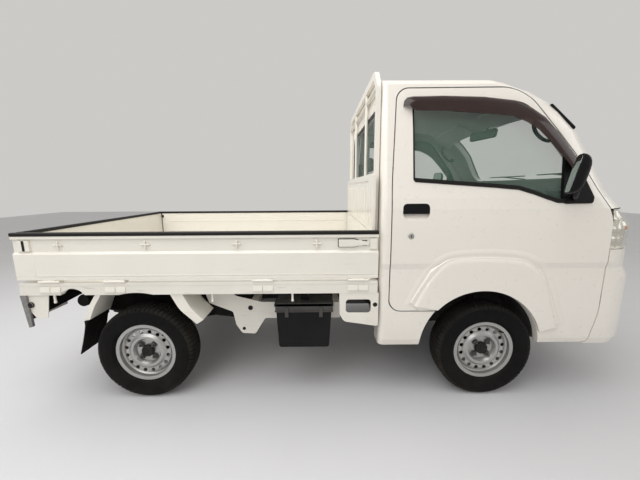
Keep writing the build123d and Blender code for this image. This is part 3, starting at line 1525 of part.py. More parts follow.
def strip_guard(corners):
    """A pressed channel from the sill down beside the rear wheel."""
    inner, outer = GUARD_STRIP_Y
    wall = GUARD_STRIP_WALL
    solid = side_prism(corners, -outer, -inner)
    shifted = [(x - 2 * wall, z, radius) for x, z, radius in corners]
    return solid - side_prism(shifted, -outer + wall, -inner - wall)


def wheel_guards():
    """The channels ahead of and behind the driver's side rear wheel."""
    return joined([strip_guard(REAR_GUARD), strip_guard(FRONT_GUARD)])


def side_member(side):
    """The pressed frame plate under the bed, with its outriggers to the chassis rail."""
    plate = side_prism(SIDE_MEMBER, side * (SIDE_MEMBER_Y - SHEET), side * SIDE_MEMBER_Y)
    for x, z, radius in SIDE_MEMBER_HOLES:
        plate = plate - cross_cylinder(x, z, radius, side * 540, side * 570)
    reach = (side * (RAIL_Y + RAIL_WIDTH + SEAT_GAP), side * (SIDE_MEMBER_Y - SHEET))
    arms = [block((-520, -476), reach, (470, 500))]
    if side > 0:
        plate = plate & block((-1000, SIDE_MEMBER_END_X), (540, 570), (200, 700))
    else:
        arms.append(block((-16, 16), reach, (470, 498)))
    return joined([plate] + arms)


def front_bracket():
    """The driver's side plate between sill and cab, with its window, boss and flange."""
    faces = (-FRONT_BRACKET_Y, -FRONT_BRACKET_Y + SHEET)
    plate = side_prism(FRONT_BRACKET, *faces) - side_prism(FRONT_BRACKET_HOLE, -750, -700)
    x, z, radius = FRONT_BRACKET_PLUG
    plate = plate - cross_cylinder(x, z, radius, -750, -700)
    x, z, radius = FRONT_BRACKET_BOSS
    boss = cross_cylinder(x, z, radius, -FRONT_BRACKET_Y - 2, -FRONT_BRACKET_Y + SHEET)
    boss = boss - cross_cylinder(x, z, radius - 5, -FRONT_BRACKET_Y - 6, -FRONT_BRACKET_Y)
    flange_y = (-FRONT_BRACKET_Y, -FRONT_BRACKET_Y + 45)
    flange = block((7, 7 + SHEET), flange_y, (505, UNDER_SILL_Z))
    return joined([plate, boss, flange])


def rear_plate():
    """The driver's side plate under the bed's rear corner, with the panel that carries a lamp."""
    faces = (-REAR_PLATE_Y, -REAR_PLATE_Y + SHEET)
    plate = side_prism(REAR_PLATE, *faces)
    x, z, radius = REAR_PLATE_BUFFER
    buffer = cross_cylinder(x, z, radius, -REAR_PLATE_Y - 9, -REAR_PLATE_Y + SHEET)
    wing = block((-1684, -1684 + SHEET), (-REAR_PLATE_Y, -470), (470, UNDER_SILL_Z))
    return joined([plate, buffer, wing])


def tail_lamp():
    """The driver's side lamp on the panel under the bed's rear corner."""
    x_high = -1684 - SEAT_GAP
    corners = [(-708, 490, 12), (-520, 490, 12), (-520, 600, 12), (-708, 600, 12)]
    body = front_prism(corners, REAR_X + 4, x_high)
    face = front_prism(grown(corners, -6), REAR_X, REAR_X + 5)
    return body + face


def rope_hook(x):
    """One peg under the driver's side sill."""
    y = -SILL_FACE_Y + SILL_THICKNESS / 2
    peg = rod((x, y, ROPE_HOOK_FOOT_Z), (x, y, UNDER_SILL_Z), ROPE_HOOK_RADIUS)
    knob = Pos(x, y, ROPE_HOOK_FOOT_Z) * Sphere(ROPE_HOOK_RADIUS + 2)
    return peg + knob


# Small cab fittings


def nose_point(y, z, proud):
    """A point on the nose and windscreen, moved forwards by proud."""
    for low, high in zip(CAB_LEVELS, CAB_LEVELS[1:]):
        if low[0] <= z <= high[0]:
            share = (z - low[0]) / (high[0] - low[0])
            setback = low[1] + share * (high[1] - low[1])
    return (FRONT_X - setback - y * y / (2 * NOSE_RADIUS) + proud, y, z)


def wipers():
    """Two wiper arms with their blades at the windscreen's foot."""
    pieces = []
    for y in WIPER_PIVOT_YS:
        pivot = nose_point(y, WIPER_PIVOT_Z, 14)
        elbow = nose_point(y + 90, WIPER_PIVOT_Z + 36, 20)
        tip = nose_point(y + 330, WIPER_PIVOT_Z + 62, 20)
        blade_low = nose_point(y + 60, WIPER_PIVOT_Z + 60, 12)
        blade_high = nose_point(y + 470, WIPER_PIVOT_Z + 62, 12)
        shaft = rod(nose_point(y, WIPER_PIVOT_Z, -10), pivot, 9)
        joint = nose_point(y + 330, WIPER_PIVOT_Z + 62, 12)
        pieces += [shaft, rod(pivot, elbow, 5), rod(elbow, tip, 5)]
        pieces += [rod(blade_low, blade_high, 4), rod(tip, joint, 4)]
    return joined(pieces) - cab_form(side=-SEAT_GAP, front=-SEAT_GAP)


def antenna():
    """The folded aerial's black housing along the driver's windscreen pillar."""
    low, high = ANTENNA_ENDS
    stem = rod(low, high, ANTENNA_RADIUS)
    caps = [Pos(*end) * Sphere(ANTENNA_RADIUS) for end in (low, high)]
    return joined([stem] + caps) - cab_form(side=-SEAT_GAP, front=-SEAT_GAP)


def cab_controls():
    """Pedals, gear lever and hand brake."""
    floor_top = FLOOR_Z + FLOOR_THICKNESS + SEAT_GAP
    pieces = []
    for y in PEDAL_YS:
        pad = block((1392, 1400), (y - 26, y + 26), (505, 560))
        arm = rod((1400, y, 535), (BULKHEAD_X + 10, y, 695), 6)
        wall = block((BULKHEAD_X - SEAT_GAP, BULKHEAD_X + 50), (y - 20, y + 20), (600, 800))
        pieces.append(joined([pad, arm - wall]))
    lever = rod((1238, GEAR_LEVER_Y, floor_top + 4), (1150, GEAR_LEVER_Y, 800), 7)
    boot = Pos(1236, GEAR_LEVER_Y, floor_top + 20) * Cone(42, 14, 40)
    knob = Pos(1150, GEAR_LEVER_Y, 806) * Sphere(22)
    pieces.append(joined([lever, boot, knob]))
    deck_top = DECK_Z + FLOOR_THICKNESS + SEAT_GAP
    grip = rod((560, 0, deck_top + 20), (800, 0, deck_top + 115), 13)
    foot = block((520, 640), (-30, 30), (deck_top, deck_top + 34))
    pieces.append(grip + foot)
    return joined(pieces)


NODES = {}


def add(name, piece):
    """Keeps one named piece."""
    NODES[name] = piece


def build():
    """Every piece of the truck."""
    add("chassis_frame", chassis_frame())
    add("engine_block", engine_block())
    add("gearbox_and_propshaft", gearbox_and_propshaft())
    add("rear_axle", rear_axle())
    add("leaf_springs", leaf_springs())
    add("front_suspension", front_suspension())
    add("battery_box", battery_box())
    add("fuel_tank", fuel_tank())
    add("exhaust", exhaust())
    for side_name, piece in zip(("right", "left"), mirrored_pair(knuckle())):
        add(f"knuckle_{side_name}", piece)
    rim_piece = rim()
    tyre_piece = tyre()
    for end, x in (("front", FRONT_AXLE_X), ("rear", REAR_AXLE_X)):
        for side_name, side in (("right", -1), ("left", 1)):
            add(f"rim_{end}_{side_name}", placed_wheel(rim_piece, x, side))
            add(f"tyre_{end}_{side_name}", placed_wheel(tyre_piece, x, side))
    add("cab_shell", cab_shell())
    add("cab_floor", cab_floor())
    add("windscreen", windscreen())
    add("rear_window", rear_window())
    add("front_panel", front_panel())
    add("front_bumper", front_bumper())
    add("headlamps", headlamps())
    pairs = {
        "door": door(),
        "door_glass": door_glass(),
        "door_mirror": door_mirror(),
        "door_handle": door_handle(),
        "side_gate": side_gate(),
        "side_gate_cap": side_gate_cap(),
    }
    for name, right in pairs.items():
        for side_name, piece in zip(("right", "left"), mirrored_pair(right)):
            add(f"{name}_{side_name}", piece)
    panel = dashboard()
    add("dashboard", panel)
    add("steering_column", steering_column(panel))
    add("steering_wheel", steering_wheel())
    add("seat_right", seat(-335))
    add("seat_left", seat(335))
    add("bed_floor", bed_floor())
    add("gate_hinge_brackets", gate_hinge_brackets())
    add("mud_flaps", joined(mirrored_pair(mud_flap())))
    add("wheel_guards", joined(mirrored_pair(wheel_guards())))
    add("side_members", joined([side_member(-1), side_member(1)]))
    add("front_brackets", joined(mirrored_pair(front_bracket())))
    add("rear_plates", joined(mirrored_pair(rear_plate())))
    hooks = [piece for x in ROPE_HOOK_XS for piece in mirrored_pair(rope_hook(x))]
    add("rope_hooks", Compound(children=hooks))
    add("wipers", wipers())
    add("antenna", antenna())
    add("cab_controls", cab_controls())
    add("tail_lamps", joined(mirrored_pair(tail_lamp())))
    add("tail_gate", tail_gate())
    add("tail_gate_cap", tail_gate_cap())
    add("headboard", headboard())
    add("guard_frame", guard_frame())


build()
os.makedirs("parts", exist_ok=True)
for node_name, node_piece in NODES.items():
    export_step(node_piece, f"parts/{node_name}.step")
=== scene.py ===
"""A white two-door kei truck with a drop-side bed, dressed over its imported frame.

All sizes are metres in the part's own frame: +X is forwards, -Y is the driver's side, Z = 0 is
the floor, and X = Y = 0 is the middle of the truck.
"""

import logging
from dataclasses import dataclass
from enum import Enum
from math import atan2, cos, dist, exp, pi, radians, sin, tan
from typing import Sequence

import bmesh
import bpy
from mathutils import Matrix, Vector
from mathutils.bvhtree import BVHTree


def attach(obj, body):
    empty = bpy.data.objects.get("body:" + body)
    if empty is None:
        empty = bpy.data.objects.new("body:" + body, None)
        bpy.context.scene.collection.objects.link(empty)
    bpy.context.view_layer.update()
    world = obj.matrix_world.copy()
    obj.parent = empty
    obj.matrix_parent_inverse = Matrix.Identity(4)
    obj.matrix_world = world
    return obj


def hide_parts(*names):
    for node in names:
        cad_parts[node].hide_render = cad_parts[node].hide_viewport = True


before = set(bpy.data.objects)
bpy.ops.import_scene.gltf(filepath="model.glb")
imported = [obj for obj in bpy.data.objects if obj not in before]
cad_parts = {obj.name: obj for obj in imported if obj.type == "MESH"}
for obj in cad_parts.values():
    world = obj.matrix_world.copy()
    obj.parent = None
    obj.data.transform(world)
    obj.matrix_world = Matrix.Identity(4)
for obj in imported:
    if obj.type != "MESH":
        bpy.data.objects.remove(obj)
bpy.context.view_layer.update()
LOG = logging.getLogger("kei_truck")

Piece = bpy.types.Object
Socket = bpy.types.NodeSocket
Colour = tuple[float, float, float]
Flat = tuple[float, float]
Corner = tuple[float, float, float]
Point = tuple[float, float, float]
Pair = tuple[str, str]
Hit = tuple[Vector, Vector]
Grid = Sequence[Sequence[Vector]]

MIDDLE = (0.0, 0.0, 0.0)
OUTWARD = (0.0, -1.0, 0.0)
NOSE_X = 1.6975
NOSE_BOW = 8.2
AXLES = (("front", 0.821), ("rear", -1.079))
HALF_TRACK = 0.6525
HUB_HEIGHT = 0.2685


class Side(Enum):
    """The two sides of the truck, as the sign of Y."""

    RIGHT = -1
    LEFT = 1

    @property
    def label(self) -> str:
        """The word that ends the names of this side's pieces."""
        return self.name.lower()


@dataclass(frozen=True)
class Tilted:
    """A plane that a flat outline is drawn in: its origin and its two axes."""

    origin: Point
    u_axis: Point
    v_axis: Point

    def matrix(self, depth: float) -> Matrix:
        """Places a flat outline in the truck.

        Args:
            depth: How far the plane is moved along its outward normal.

        Returns:
            The matrix from (u, v, outward) to the truck's frame.
        """
        u_axis = Vector(self.u_axis).normalized()
        normal = u_axis.cross(Vector(self.v_axis)).normalized()
        v_axis = normal.cross(u_axis)
        turn = Matrix((u_axis, v_axis, normal)).transposed().to_4x4()
        return Matrix.Translation(Vector(self.origin) + normal * depth) @ turn


class Facing(Enum):
    """The upright and level planes through the truck's middle."""

    SIDE = Tilted(MIDDLE, (1.0, 0.0, 0.0), (0.0, 0.0, 1.0))
    FRONT = Tilted(MIDDLE, (0.0, 1.0, 0.0), (0.0, 0.0, 1.0))
    PLAN = Tilted(MIDDLE, (1.0, 0.0, 0.0), (0.0, 1.0, 0.0))

    def matrix(self, depth: float) -> Matrix:
        """Places a flat outline this far along the plane's outward normal."""
        return self.value.matrix(depth)


# Finishes


class Wiring:
    """Adds texture nodes to one material and joins them to its shader."""

    def __init__(self, material: bpy.types.Material) -> None:
        """Opens a material.

        Args:
            material: The material, with its nodes in use.
        """
        self.tree = material.node_tree
        self.shader = self.tree.nodes["Principled BSDF"]
        coordinates = self.tree.nodes.new("ShaderNodeTexCoord")
        self.place = coordinates.outputs["Object"]
        self.facing = coordinates.outputs["Normal"]

    def feed(self, socket: Socket, value: object) -> None:
        """Joins a socket to an input, or sets the input's value.

        Args:
            socket: The input.
            value: The socket or the value.
        """
        if isinstance(value, Socket):
            self.tree.links.new(value, socket)
        else:
            socket.default_value = value

    def node(self, kind: str, **inputs: object) -> bpy.types.Node:
        """Adds a node and fills its inputs.

        Args:
            kind: The node's type name.
            inputs: Values or sockets by input name, with _ for a space.

        Returns:
            The node.
        """
        node = self.tree.nodes.new(kind)
        for name, value in inputs.items():
            self.feed(node.inputs[name.replace("_", " ")], value)
        return node

    def maths(self, kind: str, operation: str, *values: object) -> bpy.types.Node:
        """Adds a node that works on numbers or vectors.

        Args:
            kind: The node's type name.
            operation: What it does.
            values: Values or sockets for its inputs in order.

        Returns:
            The node.
        """
        node = self.tree.nodes.new(kind)
        node.operation = operation
        for socket, value in zip(node.inputs, values):
            self.feed(socket, value)
        return node

    def noise(self, scale: float, detail: float = 2.0, stretch: Point = (1, 1, 1)) -> Socket:
        """Noise of some waves a metre and some octaves, finer along the stretched axes."""
        mapping = self.node("ShaderNodeMapping", Vector=self.place, Scale=stretch)
        return self.node("ShaderNodeTexNoise", Vector=mapping.outputs[0], Scale=scale, Detail=detail).outputs[0]

    def cells(self, scale: float) -> Socket:
        """A pebbled pattern of cells of 1 / scale metres."""
        return self.node("ShaderNodeTexVoronoi", Vector=self.place, Scale=scale).outputs["Distance"]

    def span(self, value: Socket, source: Flat, target: Flat) -> Socket:
        """Maps a value from the source's range to the target's, clamped."""
        return self.node("ShaderNodeMapRange", Value=value, From_Min=source[0], From_Max=source[1],
                         To_Min=target[0], To_Max=target[1]).outputs[0]

    def times(self, first: Socket, second: Socket) -> Socket:
        """The product of two values."""
        return self.maths("ShaderNodeMath", "MULTIPLY", first, second).outputs[0]

    def height(self) -> Socket:
        """The height above the floor."""
        return self.node("ShaderNodeSeparateXYZ", Vector=self.place).outputs["Z"]

    def blend(self, share: Socket, low: object, high: object) -> Socket:
        """Mixes two colours.

        Args:
            share: How much of the second there is.
            low: The first colour or its socket.
            high: The second colour or its socket.

        Returns:
            The mixed colour.
        """
        node = self.tree.nodes.new("ShaderNodeMix")
        node.data_type = "RGBA"
        self.feed(node.inputs["Factor"], share)
        for socket, value in ((node.inputs[6], low), (node.inputs[7], high)):
            self.feed(socket, value if isinstance(value, Socket) else (*value, 1.0))
        return node.outputs[2]

    def bump(self, height: Socket, depth: float) -> None:
        """Raises the surface by a pattern from 0 to 1 of some depth in metres."""
        self.join(self.node("ShaderNodeBump", Height=height, Strength=1.0, Distance=depth).outputs[0], "Normal")

    def source(self, name: str) -> Socket:
        """The socket that is joined to one of the shader's inputs."""
        return self.shader.inputs[name].links[0].from_socket

    def join(self, value: Socket, name: str) -> None:
        """Joins a value to one of the shader's inputs."""
        self.tree.links.new(value, self.shader.inputs[name])


@dataclass(frozen=True)
class Finish:
    """A surface's colour with mottling, a fine grain and dust that thins out upwards."""

    name: str
    slot: str
    colour: Colour
    roughness: float = 0.5
    metallic: float = 0.0
    shine: float = 0.5
    mottle: float = 0.08
    mottle_scale: float = 5.0
    grain: float = 0.0001
    grain_scale: float = 600.0
    dust: float = 0.0
    dust_top: float = 0.6
    dust_colour: Colour = (0.3, 0.26, 0.21)

    def material(self) -> bpy.types.Material:
        """The finish's material, made once."""
        known = bpy.data.materials.get(self.name)
        if known is not None:
            return known
        material = bpy.data.materials.new(self.name)
        material.use_nodes = True
        wiring = Wiring(material)
        wiring.shader.inputs["Metallic"].default_value = self.metallic
        wiring.shader.inputs["Specular IOR Level"].default_value = self.shine
        self.paint(wiring)
        self.texture(wiring)
        return material

    def paint(self, wiring: Wiring) -> None:
        """Joins the colour and the roughness.

        Args:
            wiring: The material's nodes.
        """
        shade = tuple(channel * (1.0 - self.mottle) for channel in self.colour)
        patches = wiring.span(wiring.noise(self.mottle_scale, 4.0), (0.3, 0.7), (0.0, 1.0))
        colour = wiring.blend(patches, shade, self.colour)
        if self.dust > 0.0:
            low = wiring.span(wiring.height(), (0.05, self.dust_top), (self.dust, 0.0))
            clouds = wiring.span(wiring.noise(9.0, 6.0), (0.35, 0.7), (0.25, 1.0))
            colour = wiring.blend(wiring.times(low, clouds), colour, self.dust_colour)
        wiring.join(colour, "Base Color")
        spots = wiring.noise(self.mottle_scale * 6.0, 3.0)
        gloss = wiring.span(spots, (0.3, 0.7), (self.roughness * 0.88, min(self.roughness * 1.12, 1.0)))
        wiring.join(gloss, "Roughness")

    def texture(self, wiring: Wiring) -> None:
        """Raises the fine grain."""
        wiring.bump(wiring.noise(self.grain_scale, 2.0), self.grain)


@dataclass(frozen=True)
class Enamel(Finish):
    """Sprayed paint under a clear coat, with the faint waves of its spraying."""

    coat: float = 0.6

    def texture(self, wiring: Wiring) -> None:
        """Adds the coat and the spray's waves.

        Args:
            wiring: The material's nodes.
        """
        wiring.shader.inputs["Coat Weight"].default_value = self.coat
        wiring.shader.inputs["Coat Roughness"].default_value = 0.08
        if self.grain > 0.0:
            wiring.bump(wiring.noise(self.grain_scale, 1.0), self.grain)


@dataclass(frozen=True)
class Lined(Enamel):
    """Body paint outside, and grey lining on the faces that look at the cab's middle."""

    middle: Point = (0.85, 0.0, 1.1)
    lining: Colour = (0.52, 0.53, 0.525)
    lining_roughness: float = 0.8

    def paint(self, wiring: Wiring) -> None:
        """Joins the paint outside and the lining inside.

        Args:
            wiring: The material's nodes.
        """
        super().paint(wiring)
        kind = "ShaderNodeVectorMath"
        away = wiring.maths(kind, "SUBTRACT", wiring.place, self.middle).outputs[0]
        outward = wiring.maths(kind, "NORMALIZE", away).outputs[0]
        facing = wiring.maths(kind, "DOT_PRODUCT", wiring.facing, outward).outputs["Value"]
        inside = wiring.span(facing, (-0.42, -0.36), (1.0, 0.0))
        for name, low, high in (
            ("Base Color", wiring.source("Base Color"), self.lining),
            ("Roughness", wiring.source("Roughness"), (self.lining_roughness,) * 3),
        ):
            wiring.join(wiring.blend(inside, low, high), name)


@dataclass(frozen=True)
class Scuffed(Enamel):
    """Paint that loads have scratched along and across."""

    scuff: float = 0.35
    scuff_colour: Colour = (0.45, 0.42, 0.37)

    def paint(self, wiring: Wiring) -> None:
        """Joins the paint's colour with its scratches.

        Args:
            wiring: The material's nodes.
        """
        super().paint(wiring)
        under = wiring.source("Base Color")
        lines = wiring.span(wiring.noise(7.0, 8.0, (1.0, 14.0, 6.0)), (0.62, 0.72), (0.0, self.scuff))
        wiring.join(wiring.blend(lines, under, self.scuff_colour), "Base Color")


@dataclass(frozen=True)
class Moulded(Finish):
    """Moulded plastic or rubber with a pebbled skin."""

    def texture(self, wiring: Wiring) -> None:
        """Raises the pebbles."""
        wiring.bump(wiring.cells(self.grain_scale), self.grain)


@dataclass(frozen=True)
class Rolled(Finish):
    """Bare or painted metal with the lines of its rolling or turning."""

    def texture(self, wiring: Wiring) -> None:
        """Raises the lines."""
        wiring.bump(wiring.noise(self.grain_scale, 3.0, (0.05, 1.0, 1.0)), self.grain)


@dataclass(frozen=True)
class Woven(Finish):
    """Seat cloth with a square weave and a soft sheen."""

    def texture(self, wiring: Wiring) -> None:
        """Raises the threads and sets the sheen.

        Args:
            wiring: The material's nodes.
        """
        waves = []
        for direction in ("X", "Y", "Z"):
            wave = wiring.node("ShaderNodeTexWave", Vector=wiring.place, Scale=self.grain_scale, Distortion=0.6)
            wave.bands_direction = direction
            waves.append(wave.outputs["Fac"])
        wiring.bump(wiring.times(wiring.times(waves[0], waves[1]), waves[2]), self.grain)
        wiring.shader.inputs["Sheen Weight"].default_value = 0.25
        wiring.shader.inputs["Sheen Roughness"].default_value = 0.5


@dataclass(frozen=True)
class Clear(Finish):
    """Glass or clear plastic that lets light straight through."""

    alpha: float = 0.3
    ior: float = 1.9
    flutes: float = 0.0

    def texture(self, wiring: Wiring) -> None:
        """Sets how much shows through and moulds the flutes.

        Args:
            wiring: The material's nodes.
        """
        wiring.shader.inputs["Alpha"].default_value = self.alpha
        wiring.shader.inputs["IOR"].default_value = self.ior
        if self.flutes > 0.0:
            wave = wiring.node("ShaderNodeTexWave", Vector=wiring.place, Scale=self.flutes, Distortion=0.0)
            wave.bands_direction = "Z"
            wiring.bump(wave.outputs["Fac"], self.grain)


WHITE = Enamel("body_white_paint", "body_white", (0.83, 0.785, 0.715), 0.3, mottle=0.012,
               grain=0.0, dust=0.22, dust_top=0.55)
CAB_WHITE = Lined("cab_white_paint", "body_white", (0.83, 0.785, 0.715), 0.3, mottle=0.012,
                  grain=0.0, dust=0.22, dust_top=0.55)
FLOOR_MAT = Moulded("floor_mat_rubber", "cabin_plastic", (0.022, 0.022, 0.023), 0.8, mottle=0.3,
                    grain=0.0008, grain_scale=220.0, dust=0.25, dust_top=0.9)
BED_WHITE = Scuffed("bed_white_paint", "bed_white", (0.82, 0.785, 0.705), 0.36, mottle=0.03,
                    grain=0.0, dust=0.18, dust_top=0.75, scuff=0.12)
BED_FLOOR = Scuffed("bed_floor_paint", "bed_white", (0.8, 0.77, 0.69), 0.42, grain_scale=140.0, scuff=0.45)
CHASSIS = Finish("chassis_black_paint", "frame_black", (0.006, 0.006, 0.006), 0.5, shine=0.2,
                 mottle=0.4, grain=0.0004, grain_scale=90.0, dust=0.1, dust_top=0.7)
CASTING = Finish("cast_alloy", "engine_metal", (0.2, 0.2, 0.2), 0.55, metallic=0.7, mottle=0.3,
                 grain=0.0005, grain_scale=260.0, dust=0.4, dust_top=0.8)
PLASTIC = Moulded("black_moulded_plastic", "black_plastic", (0.004, 0.004, 0.0042), 0.4, shine=0.18,
                  mottle=0.15, grain=0.00015, grain_scale=900.0, dust=0.03)
FLAP = Moulded("mud_flap_rubber", "black_plastic", (0.004, 0.004, 0.004), 0.7, shine=0.12,
               mottle=0.3, grain=0.0006, grain_scale=160.0, dust=0.06, dust_top=0.7)
TANK = Finish("tank_satin_black", "tank_black", (0.03, 0.03, 0.032), 0.5, mottle=0.3, grain=0.0002,
              grain_scale=120.0, dust=0.4, dust_top=0.8)
EXHAUST = Rolled("exhaust_steel", "exhaust_steel", (0.34, 0.31, 0.27), 0.5, metallic=0.9, mottle=0.4,
                 grain=0.0002, grain_scale=220.0, dust=0.35, dust_top=0.7)
WHEEL = Rolled("wheel_silver_paint", "wheel_silver", (0.46, 0.455, 0.44), 0.34, metallic=0.75,
               mottle=0.06, grain=0.00005, grain_scale=300.0, dust=0.18, dust_top=0.4)
NUT = Rolled("zinc_plated_steel", "wheel_silver", (0.62, 0.61, 0.58), 0.32, metallic=0.95, mottle=0.15,
             grain=0.00005, grain_scale=500.0)
WHEEL_NUT = Rolled("weathered_steel", "wheel_silver", (0.13, 0.125, 0.12), 0.45, metallic=0.8,
                   mottle=0.3, grain=0.00005, grain_scale=500.0)
SIDEWALL = Finish("tyre_sidewall", "tyre_rubber", (0.004, 0.004, 0.004), 0.66, shine=0.12,
                  mottle=0.3, grain=0.00012, grain_scale=400.0, dust=0.03, dust_top=0.5)
TREAD = Finish("tyre_tread", "tyre_rubber", (0.01, 0.009, 0.008), 0.85, shine=0.12,
               mottle=0.45, mottle_scale=30.0, grain=0.0004, grain_scale=300.0, dust=0.1, dust_top=0.7)
GLASS = Clear("window_glass", "clear_glass", (0.24, 0.4, 0.3), 0.03, alpha=0.12, ior=1.45,
              mottle=0.02, grain=0.0)
VISOR = Clear("smoked_visor", "clear_glass", (0.03, 0.012, 0.009), 0.1, alpha=0.8, ior=1.5,
              mottle=0.2, grain=0.0)
LENS = Clear("lamp_lens", "lamp_clear", (0.74, 0.72, 0.62), 0.06, alpha=0.14, ior=1.5, mottle=0.05)
RED_LENS = Clear("red_lens", "lamp_red", (0.45, 0.01, 0.012), 0.12, alpha=0.95, ior=1.55, mottle=0.1,
                 flutes=60.0, grain=0.0006)
AMBER_LENS = Clear("amber_lens", "lamp_red", (0.75, 0.23, 0.02), 0.12, alpha=0.95, ior=1.55,
                   mottle=0.1, flutes=60.0, grain=0.0006)
SILVERED = Finish("silvered_reflector", "lamp_clear", (0.8, 0.77, 0.7), 0.22, metallic=1.0,
                  mottle=0.03, grain=0.00002, grain_scale=60.0)
MIRROR = Finish("mirror_glass", "clear_glass", (0.3, 0.36, 0.33), 0.04, metallic=1.0, mottle=0.02,
                grain=0.00001, grain_scale=40.0)
GALVANISED = Finish("galvanised_steel", "bed_white", (0.3, 0.29, 0.28), 0.5, metallic=0.5, mottle=0.25,
                    mottle_scale=60.0, grain=0.0001, grain_scale=200.0, dust=0.2)
LID = Moulded("battery_lid_plastic", "black_plastic", (0.035, 0.034, 0.033), 0.55, mottle=0.2,
              grain=0.00015, grain_scale=800.0, dust=0.25, dust_top=0.8)
CABIN = Moulded("cabin_plastic", "cabin_plastic", (0.035, 0.036, 0.038), 0.55, mottle=0.1,
                grain=0.0002, grain_scale=1100.0)
LINING = Finish("grey_headlining", "cabin_plastic", (0.68, 0.69, 0.68), 0.85, mottle=0.05,
                grain=0.0004, grain_scale=900.0)
CLOTH = Woven("seat_cloth", "seat_fabric", (0.055, 0.056, 0.06), 0.85, mottle=0.2, mottle_scale=14.0,
              grain=0.0005, grain_scale=220.0)
RUBBER = Moulded("edge_rubber", "cap_rubber", (0.008, 0.007, 0.006), 0.45, shine=0.3, mottle=0.25,
                 mottle_scale=12.0, grain=0.00012, grain_scale=500.0)


# Mesh work


def rounded(corners: Sequence[Corner], steps: int = 6) -> list[Flat]:
    """Rounds the corners of a closed outline.

    Args:
        corners: Each corner as (u, v, radius).
        steps: Chords in each rounded corner.

    Returns:
        The outline's points in order.
    """
    points = []
    count = len(corners)
    for index, (u, v, radius) in enumerate(corners):
        corner = Vector((u, v))
        before = Vector(corners[index - 1][:2]) - corner
        after = Vector(corners[(index + 1) % count][:2]) - corner
        if radius <= 0.0:
            points.append((u, v))
            continue
        half = before.angle(after) / 2.0
        reach = min(radius / tan(half), before.length * 0.499, after.length * 0.499)
        start = corner + before.normalized() * reach
        end = corner + after.normalized() * reach
        for step in range(steps + 1):
            share = step / steps
            first = start.lerp(corner, share)
            second = corner.lerp(end, share)
            points.append(tuple(first.lerp(second, share)))
    return points


def tile(u_low: float, v_low: float, u_high: float, v_high: float, radius: float) -> list[Flat]:
    """An upright rectangle's outline with rounded corners."""
    return rounded([(u_low, v_low, radius), (u_high, v_low, radius), (u_high, v_high, radius), (u_low, v_high, radius)])


def smoothed(piece: Piece, degrees: float = 35.0) -> Piece:
    """Shades a mesh smooth, except at its sharp edges.

    Args:
        piece: The mesh object.
        degrees: The sharpest bend that stays smooth.

    Returns:
        The same object.
    """
    work = bmesh.new()
    work.from_mesh(piece.data)
    bmesh.ops.recalc_face_normals(work, faces=work.faces)
    for face in work.faces:
        face.smooth = True
    for edge in work.edges:
        edge.smooth = edge.calc_face_angle(0.0) < radians(degrees)
    work.to_mesh(piece.data)
    work.free()
    return piece


def shown(name: str, data: bpy.types.ID) -> Piece:
    """Links a new object to the scene.

    Args:
        name: Its name.
        data: Its mesh, curve, light or camera.

    Returns:
        The object.
    """
    piece = bpy.data.objects.new(name, data)
    bpy.context.scene.collection.objects.link(piece)
    return piece


def bands(rings: int, width: int, closed: bool = False) -> list[tuple[int, ...]]:
    """The faces between closed rings of points.

    Args:
        rings: How many rings there are.
        width: How many points each ring has.
        closed: Whether the last ring meets the first.

    Returns:
        The faces as vertex numbers.
    """
    faces = []
    for ring in range(rings if closed else rings - 1):
        start, following = ring * width, (ring + 1) % rings * width
        for step in range(width):
            other = (step + 1) % width
            faces.append((start + step, start + other, following + other, following + step))
    return faces


def mesh_piece(name: str, points: Sequence[Sequence[float]], faces: Sequence[Sequence[int]]) -> Piece:
    """Makes a shaded mesh object.

    Args:
        name: The piece's name.
        points: Its vertices.
        faces: Its faces as vertex numbers.

    Returns:
        The object, linked to the scene.
    """
    mesh = bpy.data.meshes.new(name)
    mesh.from_pydata([tuple(point) for point in points], [], [tuple(face) for face in faces])
    return smoothed(shown(name, mesh))


def box(name: str, low: Point, high: Point, bevel: float = 0.003, segments: int = 2) -> Piece:
    """A box with rounded edges.

    Args:
        name: The piece's name.
        low: Its lowest corner.
        high: Its highest corner.
        bevel: The edges' radius.
        segments: Facets in each rounded edge.

    Returns:
        The object.
    """
    work = bmesh.new()
    bmesh.ops.create_cube(work, size=1.0)
    for vertex in work.verts:
        vertex.co = Vector([low[i] + (vertex.co[i] + 0.5) * (high[i] - low[i]) for i in range(3)])
    bmesh.ops.bevel(work, geom=work.edges, offset=bevel, segments=segments, profile=0.5, affect="EDGES")
    mesh = bpy.data.meshes.new(name)
    work.to_mesh(mesh)
    work.free()
    return smoothed(shown(name, mesh), 50.0)


def meshed(curve_object: Piece, name: str) -> Piece:
    """Turns a curve object into a mesh object and removes the curve.

    Args:
        curve_object: The curve's object, linked to the scene.
        name: The mesh object's name.

    Returns:
        The mesh object.
    """
    bpy.context.view_layer.update()
    graph = bpy.context.evaluated_depsgraph_get()
    mesh = bpy.data.meshes.new_from_object(curve_object.evaluated_get(graph), depsgraph=graph)
    mesh.transform(curve_object.matrix_world)
    bpy.data.objects.remove(curve_object)
    mesh.name = name
    return smoothed(shown(name, mesh))


